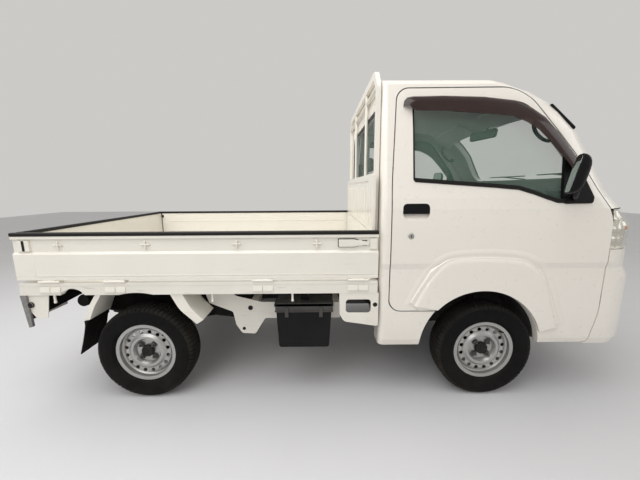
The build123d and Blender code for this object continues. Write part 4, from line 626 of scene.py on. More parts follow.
def plate(
    name: str, facing: Facing | Tilted, outline: Sequence[Flat], low: float, high: float,
    bevel: float = 0.0015, holes: Sequence[Sequence[Flat]] = (),
) -> Piece:
    """A flat piece with rounded edges and holes.

    Args:
        name: The piece's name.
        facing: The plane of its outline.
        outline: Its outer edge.
        low: Where its back lies along the plane's normal.
        high: Where its face lies.
        bevel: The edges' radius.
        holes: The edges of its holes.

    Returns:
        The object.
    """
    curve = bpy.data.curves.new(name, "CURVE")
    curve.dimensions = "2D"
    curve.fill_mode = "BOTH"
    for ring in (outline, *holes):
        spline = curve.splines.new("POLY")
        spline.points.add(len(ring) - 1)
        for point, (u, v) in zip(spline.points, ring):
            point.co = (u, v, 0.0, 1.0)
        spline.use_cyclic_u = True
    curve.extrude = (high - low) / 2.0 - bevel
    curve.bevel_depth = bevel
    curve.bevel_resolution = 1
    curve.offset = -bevel
    holder = shown(name, curve)
    holder.matrix_world = facing.matrix((low + high) / 2.0)
    return meshed(holder, name)


def tube(
    name: str, points: Sequence[Sequence[float]], radius: float, closed: bool = False, smooth: bool = True,
) -> Piece:
    """A round bar or pipe through some points.

    Args:
        name: The piece's name.
        points: The points of its middle line.
        radius: Its radius.
        closed: Whether its ends meet.
        smooth: Whether it bends smoothly instead of in straight runs.

    Returns:
        The object.
    """
    curve = bpy.data.curves.new(name, "CURVE")
    curve.dimensions = "3D"
    spline = curve.splines.new("NURBS" if smooth else "POLY")
    spline.points.add(len(points) - 1)
    for point, place in zip(spline.points, points):
        point.co = (*place, 1.0)
    spline.use_cyclic_u = closed
    if smooth:
        spline.order_u = 3
        spline.use_endpoint_u = not closed
    curve.bevel_depth = radius
    curve.bevel_resolution = 3
    curve.use_fill_caps = not closed
    return meshed(shown(name, curve), name)


def lathe(
    name: str, profile: Sequence[Flat], centre: Point, axis: Point = (0.0, -1.0, 0.0), steps: int = 32,
) -> Piece:
    """A turned piece.

    Args:
        name: The piece's name.
        profile: Points (radius, distance along the axis).
        centre: Where the axis starts.
        axis: The axis' direction.
        steps: Facets round the axis.

    Returns:
        The object.
    """
    points = []
    for radius, reach in profile:
        for step in range(steps):
            angle = 2.0 * pi * step / steps
            points.append(Vector((radius * cos(angle), radius * sin(angle), reach)))
    turn = Vector(axis).to_track_quat("Z", "Y").to_matrix().to_4x4()
    place = Matrix.Translation(centre) @ turn
    return mesh_piece(name, [place @ point for point in points], bands(len(profile), steps))


def sweep(
    name: str, path: Sequence[Vector], normals: Sequence[Vector], profile: Sequence[Flat],
    closed: bool = False,
) -> Piece:
    """Draws a flat profile along a path.

    Args:
        name: The piece's name.
        path: The path's points.
        normals: The outward direction at each point.
        profile: The closed profile as (across, outwards).
        closed: Whether the path's ends meet.

    Returns:
        The object.
    """
    points = []
    count, width = len(path), len(profile)
    for index, place in enumerate(path):
        before = path[index - 1] if index > 0 or closed else path[0]
        after = path[(index + 1) % count] if index < count - 1 or closed else path[-1]
        tangent = (after - before).normalized()
        outward = (normals[index] - tangent * normals[index].dot(tangent)).normalized()
        across = tangent.cross(outward)
        points += [place + across * u + outward * v for u, v in profile]
    faces = bands(count, width, closed)
    if not closed:
        faces.append(tuple(range(width)))
        faces.append(tuple(reversed(range((count - 1) * width, count * width))))
    return mesh_piece(name, points, faces)


def loft(name: str, rings: Grid) -> Piece:
    """Joins closed rings with the same number of points into one capped skin.

    Args:
        name: The piece's name.
        rings: The rings in order.

    Returns:
        The object.
    """
    width = len(rings[0])
    faces = bands(len(rings), width)
    last = (len(rings) - 1) * width
    faces.append(tuple(reversed(range(width))))
    faces.append(tuple(range(last, last + width)))
    return mesh_piece(name, [point for ring in rings for point in ring], faces)


def shell(name: str, outer: Grid, inner: Grid) -> Piece:
    """A thin curved sheet between two grids of points.

    Args:
        name: The piece's name.
        outer: The rows of its outer face.
        inner: The rows of its inner face, as many points in as many rows.

    Returns:
        The object.
    """
    rows, columns = len(outer), len(outer[0])
    sheet = rows * columns
    faces = []
    for row in range(rows - 1):
        for column in range(columns - 1):
            start = row * columns + column
            quad = (start, start + 1, start + columns + 1, start + columns)
            faces.append(quad)
            faces.append(tuple(number + sheet for number in reversed(quad)))
    rim = [row * columns for row in range(rows)]
    rim += [(rows - 1) * columns + column for column in range(1, columns)]
    rim += [row * columns + columns - 1 for row in reversed(range(rows - 1))]
    rim += list(reversed(range(1, columns - 1)))
    for first, second in zip(rim, rim[1:] + rim[:1]):
        faces.append((first, second, second + sheet, first + sheet))
    return mesh_piece(name, [point for grid in (outer, inner) for row in grid for point in row], faces)


def joined(name: str, pieces: Sequence[Piece]) -> Piece:
    """Joins mesh objects into one.

    Args:
        name: The joined piece's name.
        pieces: The objects, which are removed.

    Returns:
        The joined object.
    """
    points, faces = [], []
    for piece in pieces:
        start = len(points)
        points += [vertex.co.copy() for vertex in piece.data.vertices]
        faces += [tuple(start + number for number in face.vertices) for face in piece.data.polygons]
        bpy.data.objects.remove(piece)
    return mesh_piece(name, points, faces)


def twin(piece: Piece, name: str) -> Piece:
    """The mirror image of a driver's side piece.

    Args:
        piece: The object.
        name: The twin's name.

    Returns:
        The twin.
    """
    points = [(vertex.co.x, -vertex.co.y, vertex.co.z) for vertex in piece.data.vertices]
    faces = [tuple(reversed(face.vertices)) for face in piece.data.polygons]
    return mesh_piece(name, points, faces)


class Skin:
    """The faces of some CAD nodes, for trim that follows them."""

    def __init__(self, *names: str) -> None:
        """Gathers the nodes' faces.

        Args:
            names: The nodes' names.
        """
        points, faces = [], []
        for name in names:
            start = len(points)
            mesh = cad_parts[name].data
            points += [vertex.co.copy() for vertex in mesh.vertices]
            faces += [tuple(start + number for number in face.vertices) for face in mesh.polygons]
        self.tree = BVHTree.FromPolygons(points, faces)

    def hit(self, start: Sequence[float], direction: Sequence[float]) -> Hit:
        """Where a line first meets the skin.

        Args:
            start: The line's start.
            direction: Its direction.

        Returns:
            The point and the surface's outward normal there.

        Raises:
            ValueError: If the line misses the skin.
        """
        heading = Vector(direction).normalized()
        place, normal, _, _ = self.tree.ray_cast(Vector(start), heading)
        if place is None:
            raise ValueError(f"the line from {start} along {direction} misses the skin")
        return place, normal if normal.dot(heading) < 0.0 else -normal


@dataclass(frozen=True)
class CabSide:
    """Half the cab's width at each height, as the frame has it."""

    levels: tuple[Flat, ...] = (
        (0.311, 0.715), (0.345, 0.7245), (0.404, 0.726), (0.747, 0.726), (0.779, 0.734),
        (0.85, 0.734), (0.971, 0.7315), (1.062, 0.7285), (1.118, 0.7225), (1.151, 0.7175),
        (1.464, 0.677), (1.552, 0.664), (1.608, 0.656), (1.654, 0.65), (1.7, 0.643),
        (1.738, 0.637),
    )

    def half_width(self, z: float) -> float:
        """Half the cab's width at a height.

        Args:
            z: The height.

        Returns:
            The half width.
        """
        for (low_z, low), (high_z, high) in zip(self.levels, self.levels[1:]):
            if z <= high_z:
                share = max(0.0, (z - low_z) / (high_z - low_z))
                return low + (high - low) * share
        return self.levels[-1][1]

    def point(self, x: float, z: float, proud: float = 0.0) -> Vector:
        """A point at a place and height on the driver's side, or standing out of it."""
        return Vector((x, -self.half_width(z) - proud, z))

    def plane(self, low: float, high: float) -> Tilted:
        """The driver's side between two heights, with U forwards and V up from the lower one."""
        lean = (self.half_width(low) - self.half_width(high)) / (high - low)
        return Tilted((0.0, -self.half_width(low), low), (1.0, 0.0, 0.0), (0.0, lean, 1.0))

    def normal(self, z: float) -> Vector:
        """The driver's side's outward direction at a height."""
        slope = (self.half_width(z + 0.02) - self.half_width(z - 0.02)) / 0.04
        return Vector((0.0, -1.0, -slope)).normalized()


CAB_SIDE = CabSide()


def put(piece: Piece, finish: Finish, body: str, replaces: Sequence[str] = ()) -> Piece:
    """Paints a piece and sets it on its body.

    Args:
        piece: The object.
        finish: Its finish.
        body: The body that it rides on.
        replaces: The CAD nodes that it stands for.

    Returns:
        The object.
    """
    if not piece.data.materials:
        piece.data.materials.append(finish.material())
    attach(piece, body)
    if replaces:
        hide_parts(*replaces)
    LOG.info("%s rides on %s", piece.name, body)
    return piece


def put_pair(piece: Piece, finish: Finish, bodies: Pair, stem: str, replaces: Sequence[str] = ()) -> None:
    """Sets a driver's side piece and its twin on their bodies.

    Args:
        piece: The driver's side object.
        finish: The finish of both.
        bodies: The bodies of the right and left piece.
        stem: The names' first part.
        replaces: The CAD nodes that the right and the left piece stand for.
    """
    other = twin(piece, f"{stem}_left")
    piece.name = f"{stem}_right"
    put(piece, finish, bodies[0], replaces[:1])
    put(other, finish, bodies[1], replaces[1:])


TRUCK = ("truck", "truck")
DOORS = ("door_right", "door_left")
SIDE_GATES = ("side_gate_right", "side_gate_left")


# The truck


@dataclass(frozen=True)
class Paintwork:
    """The finishes of the CAD nodes that stay as they are."""

    finishes: tuple[tuple[Finish, tuple[str, ...]], ...] = (
        (CAB_WHITE, ("cab_shell", "door_right", "door_left")),
        (WHITE, ("front_panel", "front_bumper")),
        (FLOOR_MAT, ("cab_floor",)),
        (BED_WHITE, ("gate_hinge_brackets", "side_gate_right", "side_gate_left", "tail_gate",
                     "headboard", "guard_frame", "wheel_guards", "side_members", "front_brackets",
                     "rear_plates", "rope_hooks")),
        (BED_FLOOR, ("bed_floor",)),
        (RUBBER, ("side_gate_cap_right", "side_gate_cap_left", "tail_gate_cap")),
        (CHASSIS, ("chassis_frame", "rear_axle", "leaf_springs", "front_suspension",
                   "knuckle_right", "knuckle_left")),
        (CASTING, ("engine_block", "gearbox_and_propshaft")),
        (PLASTIC, ("battery_box", "door_handle_right", "door_handle_left", "wipers", "antenna")),
        (TANK, ("fuel_tank",)),
        (EXHAUST, ("exhaust",)),
        (WHEEL, ("rim_front_right", "rim_front_left", "rim_rear_right", "rim_rear_left")),
        (SIDEWALL, ("tyre_front_right", "tyre_front_left", "tyre_rear_right", "tyre_rear_left")),
        (GLASS, ("windscreen", "rear_window", "door_glass_right", "door_glass_left")),
        (CABIN, ("dashboard", "steering_column", "cab_controls")),
    )

    def build(self) -> None:
        """Gives every node its finish."""
        for finish, names in self.finishes:
            for name in names:
                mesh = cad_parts[name].data
                mesh.materials.clear()
                mesh.materials.append(finish.material())
                LOG.info("%s has %s", name, finish.name)


@dataclass(frozen=True)
class Wheel:
    """One wheel's tyre and fittings, about an axis along Y."""

    body: str
    centre: Point
    side: Side
    hub_face: float = 0.022
    pitches: int = 66
    nut_circle: float = 0.05
    cap_radius: float = 0.034
    tread_half: float = 0.056
    groove_depth: float = 0.0065

    def columns(self) -> list[tuple[float, float, bool]]:
        """The tyre's section as (y, radius, whether the lateral grooves cut it)."""
        wall = [
            (0.044, 0.1535), (0.0465, 0.165), (0.056, 0.17), (0.0615, 0.1735), (0.0655, 0.181),
            (0.0672, 0.1815), (0.069, 0.189), (0.0712, 0.198), (0.073, 0.21), (0.0735, 0.222),
            (0.0722, 0.233), (0.0728, 0.2335), (0.0715, 0.24), (0.0705, 0.2405), (0.068, 0.248),
        ]
        shoulder = [(0.0645, 0.255), (0.06, 0.2615), (0.054, 0.265), (0.045, 0.2672)]
        crown = [
            (0.0385, 0.2676), (0.038, 0.2611), (0.034, 0.2612), (0.0335, 0.2679),
            (0.0235, 0.2682), (0.0155, 0.2684), (0.015, 0.2619), (0.011, 0.2619), (0.0105, 0.2685),
        ]
        half = [(y, r, False) for y, r in wall] + [(y, r, True) for y, r in shoulder]
        half += [(y, r, r > 0.265) for y, r in crown]
        return [(-y, r, cut) for y, r, cut in half] + [(y, r, cut) for y, r, cut in reversed(half)]

    def tyre(self) -> Piece:
        """The tyre with its ribs, blocks and sidewall rings."""
        samples = ((0.0, 0.0), (0.015, 1.0), (0.135, 1.0), (0.15, 0.0), (0.42, 0.0), (0.7, 0.0))
        columns = self.columns()
        points: list[Point] = []
        for pitch in range(self.pitches):
            for share, depth in samples:
                for y, radius, cut in columns:
                    lean = 0.35 * abs(y) / self.tread_half
                    angle = 2.0 * pi * (pitch + share + lean) / self.pitches
                    cut_depth = self.groove_depth * depth if cut else 0.0
                    if cut and abs(y) < 0.033:
                        cut_depth *= 0.6
                    if y * (1 if pitch % 2 else -1) > 0 and abs(y) < 0.011:
                        cut_depth = 0.0
                    reach = radius - cut_depth
                    points.append((reach * cos(angle), y, reach * sin(angle)))
        rings = self.pitches * len(samples)
        width = len(columns)
        faces = []
        for ring in range(rings):
            following = (ring + 1) % rings
            for column in range(width - 1):
                faces.append((
                    ring * width + column, following * width + column,
                    following * width + column + 1, ring * width + column + 1,
                ))
        place = Vector(self.centre)
        piece = mesh_piece(f"{self.body}_tyre_dressed", [Vector(point) + place for point in points], faces)
        piece.data.materials.append(SIDEWALL.material())
        piece.data.materials.append(TREAD.material())
        for face in piece.data.polygons:
            column = face.index % (width - 1)
            if 14 <= column <= width - 16:
                face.material_index = 1
        return piece

    def outward(self, reach: float) -> Point:
        """A point on the wheel's axis, some way outwards from its middle."""
        x, y, z = self.centre
        return (x, y + self.side.value * reach, z)

    def nuts(self) -> Piece:
        """The four cone-seated nuts on their studs."""
        pieces = []
        for index in range(4):
            angle = pi * (0.25 + 0.5 * index)
            x = self.centre[0] + self.nut_circle * cos(angle)
            z = self.centre[2] + self.nut_circle * sin(angle)
            axis = (0.0, float(self.side.value), 0.0)
            start = (x, self.outward(self.hub_face)[1], z)
            hexagon = [(0.0, 0.0), (0.0125, 0.0), (0.0125, 0.0145), (0.0105, 0.0165), (0.0, 0.0165)]
            stud = [(0.0, 0.016), (0.0055, 0.016), (0.0055, 0.026), (0.0045, 0.0275), (0.0, 0.0275)]
            cone = [(0.0185, -0.001), (0.0175, 0.0025), (0.013, 0.004), (0.0, 0.004)]
            pieces.append(lathe("nut", hexagon, start, axis, 6))
            pieces.append(lathe("stud", stud, start, axis, 14))
            pieces.append(lathe("seat", cone, start, axis, 24))
        return joined(f"{self.body}_nuts", pieces)

    def cap(self) -> Piece:
        """The dark grease cap in the middle of the wheel."""
        r = self.cap_radius
        profile = [
            (r + 0.001, -0.004), (r, 0.004), (r - 0.001, 0.016), (r - 0.003, 0.0185), (r - 0.009, 0.0205),
            (r - 0.012, 0.0185), (0.01, 0.0165), (0.008, 0.018), (0.0, 0.0185),
        ]
        axis = (0.0, float(self.side.value), 0.0)
        return lathe(f"{self.body}_cap", profile, self.outward(self.hub_face), axis, 40)

    def valve(self) -> Piece:
        """The tyre valve with its cap."""
        x, _, z = self.centre
        start = (x + 0.098, self.outward(0.03)[1], z + 0.098)
        profile = [(0.0, 0.0), (0.0055, 0.0), (0.0048, 0.012), (0.0042, 0.014), (0.0042, 0.025), (0.0, 0.026)]
        return lathe(f"{self.body}_valve", profile, start, (0.25, float(self.side.value), 0.25), 16)

    def build(self) -> None:
        """Makes the wheel's pieces."""
        node = self.body.replace("wheel", "tyre")
        put(self.tyre(), SIDEWALL, self.body, [node])
        put(self.nuts(), WHEEL_NUT, self.body)
        put(self.cap(), CHASSIS, self.body)
        put(self.valve(), RUBBER, self.body)


@dataclass(frozen=True)
class DoorDress:
    """Seals, handle, lock and visor of the driver's door, and their twins."""

    window: tuple[Corner, ...] = (
        (0.384, 1.206, 0.014), (0.935, 1.163, 0.24), (1.12, 1.094, 0.06), (1.268, 1.1, 0.022),
        (1.185, 1.305, 0.3), (0.95, 1.6, 0.17), (0.376, 1.6, 0.042),
    )
    seal_width: float = 0.011
    lock: Flat = (0.376, 0.925)
    handle: tuple[Corner, ...] = (
        (0.329, 1.04, 0.004), (0.467, 1.04, 0.004), (0.467, 1.0925, 0.026), (0.329, 1.0925, 0.026),
    )

    def seal(self) -> Piece:
        """The black rubber run round the window."""
        outline = rounded(self.window, 8)
        path = [CAB_SIDE.point(x, z, -0.004) for x, z in outline]
        normals = [CAB_SIDE.normal(z) for _, z in outline]
        half = self.seal_width / 2.0
        profile = [(-half, -0.012), (half, -0.012), (half, 0.003), (half - 0.003, 0.0055),
                   (-half + 0.003, 0.0055), (-half, 0.003)]
        return sweep("window_seal", path, normals, profile, closed=True)

    def belt(self) -> Piece:
        """The wide black moulding along the window's lower edge."""
        line = [(0.388, 1.205), (0.6, 1.1885), (0.8, 1.1735), (0.92, 1.1625), (1.00, 1.138), (1.07, 1.112),
                (1.13, 1.095), (1.2, 1.096)]
        path = [CAB_SIDE.point(x, z + 0.006, 0.0005) for x, z in line]
        normals = [CAB_SIDE.normal(z) for _, z in line]
        profile = [(-0.011, -0.01), (0.01, -0.01), (0.01, 0.0025), (0.006, 0.0045), (-0.008, 0.0045),
                   (-0.011, 0.0015)]
        return sweep("belt_moulding", path, normals, profile)

    def visor(self) -> Piece:
        """The smoked rain visor along the window's top and front edge."""
        upper = [(0.327, 1.576), (0.331, 1.603), (0.345, 1.619), (0.375, 1.6245), (0.525, 1.627), (0.733, 1.621),
                 (0.89, 1.603), (0.977, 1.565), (1.044, 1.52), (1.127, 1.429), (1.206, 1.322), (1.226, 1.27)]
        lower = [(0.362, 1.572), (0.366, 1.56), (0.376, 1.553), (0.4, 1.549), (0.525, 1.547), (0.733, 1.533),
                 (0.868, 1.52), (0.935, 1.492), (0.995, 1.455), (1.075, 1.375), (1.152, 1.285), (1.188, 1.232)]
        ribs = ((0.0, 0.002), (0.1, 0.012), (0.35, 0.022), (0.8, 0.026), (1.0, 0.0265))
        sheets = []
        for thickness in (0.003, 0.0):
            rows = []
            for (x1, z1), (x2, z2) in zip(upper, lower):
                rows.append([
                    CAB_SIDE.point(x1 + (x2 - x1) * share, z1 + (z2 - z1) * share, proud + thickness)
                    for share, proud in ribs
                ])
            sheets.append(rows)
        return shell("rain_visor", sheets[0], sheets[1])

    def lock_barrel(self) -> Piece:
        """The lock with its keyway, in its dish."""
        x, z = self.lock
        y = -CAB_SIDE.half_width(z)
        profile = [(0.015, -0.004), (0.015, 0.0012), (0.0132, 0.0024), (0.01, 0.0024), (0.0092, 0.0012),
                   (0.0085, 0.003), (0.0, 0.0032)]
        return lathe("lock", profile, (x, y, z), OUTWARD, 28)

    def keyway(self) -> Piece:
        """The dark shutter over the keyway."""
        x, z = self.lock
        y = -CAB_SIDE.half_width(z)
        return box("key", (x - 0.0022, y - 0.004, z - 0.006), (x + 0.0022, y - 0.0028, z + 0.006), 0.0004)

    def handle_bezel(self) -> Piece:
        """The black surround of the handle's flap."""
        low, high = self.handle[0][1], self.handle[2][1]
        outline = rounded([(u, v - low, r) for u, v, r in self.handle], 6)
        return plate("bezel", CAB_SIDE.plane(low, high), outline, -0.004, 0.0016, 0.0012)

    def build(self) -> None:
        """Makes both doors' pieces."""
        put_pair(self.seal(), RUBBER, DOORS, "window_seal")
        put_pair(self.belt(), RUBBER, DOORS, "belt_moulding")
        put_pair(self.visor(), VISOR, DOORS, "rain_visor")
        put_pair(self.lock_barrel(), NUT, DOORS, "door_lock")
        put_pair(self.keyway(), RUBBER, DOORS, "door_keyway")
        put_pair(self.handle_bezel(), PLASTIC, DOORS, "handle_bezel")


@dataclass(frozen=True)
class DoorMirror:
    """The driver's mirror on the black panel in the window's front corner, and its twin."""

    middle: Point = (1.12, -0.831, 1.231)
    turn: float = 27.0
    lean: float = 11.0
    half_width: float = 0.052
    half_height: float = 0.093
    depth: float = 0.052
    panel: tuple[Corner, ...] = (
        (1.146, 1.089, 0.006), (1.298, 1.09, 0.014), (1.306, 1.12, 0.014), (1.262, 1.212, 0.03),
        (1.204, 1.287, 0.03), (1.152, 1.35, 0.004),
    )
    foot: tuple[Corner, ...] = (
        (1.146, 1.086, 0.01), (1.296, 1.088, 0.014), (1.303, 1.119, 0.014), (1.25, 1.222, 0.016),
        (1.18, 1.14, 0.04),
    )

    def plane(self) -> Tilted:
        """The plane of the mirror's glass, facing backwards and a little to the driver."""
        turn, lean = radians(self.turn), radians(self.lean)
        across = (-sin(turn), -cos(turn), 0.0)
        up = (sin(lean) * cos(turn), -sin(lean) * sin(turn), cos(lean))
        back = Vector((-cos(turn), sin(turn), 0.0)) * (self.depth * 0.42)
        return Tilted(tuple(Vector(self.middle) + back), across, up)

    def oval(self, inset: float) -> list[Flat]:
        """The head's outline in its glass' plane.

        Args:
            inset: How far inside the edge it runs.

        Returns:
            The outline's points.
        """
        u, v = self.half_width - inset, self.half_height - inset
        round_top, round_foot = 0.044 - inset, 0.034 - inset
        return rounded([
            (-u * 0.88, -v, round_foot), (u * 0.94, -v, round_foot), (u, v * 0.55, 0.12), (u * 0.96, v, round_top),
            (-u * 0.92, v, round_top), (-u, v * 0.35, 0.12),
        ], 8)

    def shell(self) -> Piece:
        """The moulded head, bowled in front of its glass."""
        ring = self.oval(0.0)
        place = self.plane().matrix(0.0)
        rings = []
        for share in (0.0, 0.04, 0.12, 0.25, 0.42, 0.6, 0.76, 0.88, 0.96, 1.0):
            scale = max(0.03, 1.0 - share ** 2.3) ** 0.42
            rise = 0.004 * share
            rings.append([place @ Vector((u * scale, v * scale + rise, -self.depth * share)) for u, v in ring])
        return loft("mirror_shell", rings)

    def glass(self, inset: float, low: float, high: float, name: str) -> Piece:
        """An oval plate on the head's rear face, inset from its edge, between two depths."""
        return plate(name, self.plane(), self.oval(inset), low, high, min(0.0012, (high - low) * 0.4))

    def mount(self) -> Piece:
        """The corner panel, the foot on it and the stay that carries the head."""
        plane = CAB_SIDE.plane(1.09, 1.26)
        base = plane.origin[2]
        panel = rounded([(u, v - base, r) for u, v, r in self.panel], 6)
        foot = rounded([(u, v - base, r) for u, v, r in self.foot], 6)
        y = -CAB_SIDE.half_width(1.12)
        x, head_y, z = self.middle
        stay = [(1.205, y + 0.004, 1.124), (1.192, y - 0.018, 1.122), (1.165, y - 0.05, 1.122),
                (x + 0.018, head_y + 0.022, z - self.half_height + 0.022)]
        pieces = [
            plate("panel", plane, panel, -0.018, 0.0012, 0.001),
            plate("foot", plane, foot, 0.0, 0.0088, 0.0035),
            tube("stay", stay, 0.0125),
            lathe("pivot", [(0.0, 0.0), (0.02, 0.0), (0.02, 0.01), (0.016, 0.014), (0.0, 0.014)],
                  (1.2, y - 0.004, 1.122), (0, -1, 0.1), 28),
        ]
        return joined("mirror_mount", pieces)

    def build(self) -> None:
        """Makes both mirrors."""
        put_pair(self.shell(), PLASTIC, DOORS, "mirror_shell", ("door_mirror_right", "door_mirror_left"))
        put_pair(self.mount(), PLASTIC, DOORS, "mirror_mount")
        put_pair(self.glass(0.001, -0.003, 0.0015, "bezel"), RUBBER, DOORS, "mirror_bezel")
        put_pair(self.glass(0.006, 0.0005, 0.0024, "glass"), MIRROR, DOORS, "mirror_glass")


@dataclass(frozen=True)
class Flare:
    """The soft swelling of the driver's door round the wheel arch, and its twin."""

    arch: Flat = (0.78, 0.296)
    arch_radius: float = 0.3325
    crest: float = 0.742
    groove: tuple[Flat, ...] = (
        (0.0, -0.0006), (0.004, 0.0004), (0.016, 0.0018), (0.024, 0.0026), (0.029, 0.0022), (0.034, 0.0008),
        (0.04, 0.0003), (0.044, 0.0005),
    )
    blend: float = 0.024
    start: float = 0.02
    edge: tuple[Flat, ...] = (
        (0.374, 0.551), (0.4, 0.612), (0.432, 0.676), (0.472, 0.738), (0.516, 0.789), (0.566, 0.82),
        (0.63, 0.833), (0.7, 0.837), (0.775, 0.838), (0.85, 0.836), (0.92, 0.831), (0.985, 0.819),
        (1.042, 0.793), (1.09, 0.752), (1.126, 0.702), (1.152, 0.646), (1.174, 0.585), (1.197, 0.52),
        (1.221, 0.456), (1.229, 0.43),
    )
    first_bearing: float = 137.4
    last_bearing: float = 17.0

    def skin(self) -> Piece:
        """The swelling from its edge to the arch's lip."""
        count, steps = len(self.edge), 12
        groove_end = self.groove[-1][0]
        outer, inner = [], []
        for index in range((count - 1) * 3 + 1):
            place = index / 3.0
            low = min(int(place), count - 2)
            part = place - low
            x1, z1 = self.edge[low]
            x2, z2 = self.edge[low + 1]
            rim = Vector((x1 + (x2 - x1) * part, z1 + (z2 - z1) * part))
            bearing = radians(
                self.first_bearing + (self.last_bearing - self.first_bearing) * place / (count - 1)
            )
            lip = Vector((self.arch[0] + self.arch_radius * cos(bearing),
                          self.arch[1] + self.arch_radius * sin(bearing)))
            heading = (lip - rim).normalized()
            rim = rim - heading * self.start
            reach = (lip - rim).length
            row = []
            for distance, proud in self.groove:
                flat = rim + heading * distance
                row.append(Vector((flat.x, -CAB_SIDE.half_width(flat.y) - proud, flat.y)))
            for step in range(1, steps + 1):
                distance = groove_end + (reach - groove_end) * (step / steps) ** 1.5
                flat = rim + heading * distance
                rise = min(1.0, (distance - groove_end) / self.blend)
                rise = rise * rise * (3.0 - 2.0 * rise)
                side = CAB_SIDE.half_width(flat.y) + self.groove[-1][1]
                row.append(Vector((flat.x, -(side + (self.crest - side) * rise), flat.y)))
            outer.append(row)
            inner.append([point + Vector((0.0, 0.01, 0.0)) for point in row])
        return shell("door_flare", outer, inner)

    def build(self) -> None:
        """Makes both doors' flares."""
        put_pair(self.skin(), CAB_WHITE, DOORS, "door_flare")


@dataclass(frozen=True)
class CornerLamp:
    """The driver's headlamp: a clear lens over a faceted reflector, and its twin."""

    axis: Flat = (1.46, -0.46)
    low_z: float = 0.85
    high_z: float = 1.0592
    rear_x: float = 1.4205
    inner_y: tuple[Corner, ...] = ((0.8488, -0.402, 0.0425), (0.971, -0.443, 0.0345), (1.062, -0.473, 0.1095))
    lens_wall: float = 0.003
    bowl_depth: float = 0.016
    shade: tuple[Flat, ...] = (
        (0.024, -0.004), (0.023, 0.003), (0.015, 0.006), (0.014, 0.015), (0.01, 0.0175), (0.0, 0.018),
    )
    amber: tuple[Flat, ...] = (
        (0.012, -0.003), (0.012, 0.002), (0.008, 0.003), (0.0095, 0.008), (0.008, 0.0135), (0.0, 0.016),
    )

    def ends(self, z: float) -> Flat:
        """The bearings from the lamp's axis to its rear and its inner edge at a height.

        Args:
            z: The height.

        Returns:
            Both bearings in radians.
        """
        low, middle, high = self.inner_y
        first, second = (low, middle) if z < middle[0] else (middle, high)
        share = (z - first[0]) / (second[0] - first[0])
        y = first[1] + (second[1] - first[1]) * share
        x = NOSE_X - (first[2] + (second[2] - first[2]) * share) - y * y / NOSE_BOW
        rear = atan2(-CAB_SIDE.half_width(z) - self.axis[1], self.rear_x - self.axis[0])
        return rear, atan2(y - self.axis[1], x - self.axis[0])

    def face(self, rows: int, columns: int) -> list[list[Hit]]:
        """Points all over the lamp's outside.

        Args:
            rows: How many rows upwards.
            columns: How many points from the rear edge to the inner edge.

        Returns:
            Rows of points with their outward normals.
        """
        skin = Skin("headlamps")
        grid = []
        for row in range(rows):
            z = self.low_z + (self.high_z - self.low_z) * row / (rows - 1)
            rear, front = self.ends(z)
            line = []
            for column in range(columns):
                bearing = rear + (front - rear) * column / (columns - 1)
                heading = Vector((cos(bearing), sin(bearing), 0.0))
                start = Vector((*self.axis, z)) + heading * 0.9
                line.append(skin.hit(start, -heading))
            grid.append(line)
        return grid

    def lens(self) -> Piece:
        """The clear lens."""
        grid = self.face(13, 40)
        outer = [[place for place, _ in line] for line in grid]
        inner = [[place - normal * self.lens_wall for place, normal in line] for line in grid]
        return shell("lamp_lens", outer, inner)

    def bowl(self) -> Piece:
        """The reflector, pressed in rows of shallow cups."""
        rows, columns = 33, 97
        grid = self.face(rows, columns)
        faces = []
        for depth in (0.0, 0.0015):
            sheet = []
            for row, line in enumerate(grid):
                across = abs((row / (rows - 1) * 4.0) % 1.0 - 0.5) * 2.0
                points = []
                for column, (place, normal) in enumerate(line):
                    along = abs((column / (columns - 1) * 12.0) % 1.0 - 0.5) * 2.0
                    cup = 0.0055 * (1.0 - max(along, across) ** 2)
                    rim = 0.004 if row in (0, rows - 1) or column in (0, columns - 1) else self.bowl_depth
                    points.append(place - normal * (rim + (cup if rim > 0.01 else 0.0) - 0.0055 + depth + 0.004))
                sheet.append(points)
            faces.append(sheet)
        return shell("lamp_bowl", faces[0], faces[1])

    def bulb(self, column: int, depth: float, profile: Sequence[Flat], steps: int) -> Piece:
        """A turned piece of some facets behind the lens, in one of eleven columns from its rear edge."""
        place, normal = self.face(3, 11)[1][column]
        return lathe("bulb", profile, tuple(place - normal * depth), tuple(normal), steps)

    def gasket(self) -> Piece:
        """The black strip along the lamp's top."""
        line = self.face(13, 40)[-1]
        path = [place + Vector((0.0, 0.0, 0.0012)) for place, _ in line]
        profile = [(-0.0022, -0.006), (0.0022, -0.006), (0.0022, 0.001), (0.0012, 0.0022), (-0.0012, 0.0022),
                   (-0.0022, 0.001)]
        return sweep("lamp_gasket", path, [normal for _, normal in line], profile)

    def build(self) -> None:
        """Makes both lamps."""
        put_pair(self.lens(), LENS, TRUCK, "lamp_lens", ("headlamps", "headlamps"))
        put_pair(self.bowl(), SILVERED, TRUCK, "lamp_bowl")
        put_pair(self.bulb(7, 0.023, self.shade, 28), NUT, TRUCK, "lamp_bulb_shade")
        put_pair(self.bulb(3, 0.022, self.amber, 24), AMBER_LENS, TRUCK, "indicator_bulb")
        put_pair(self.gasket(), RUBBER, TRUCK, "lamp_gasket")


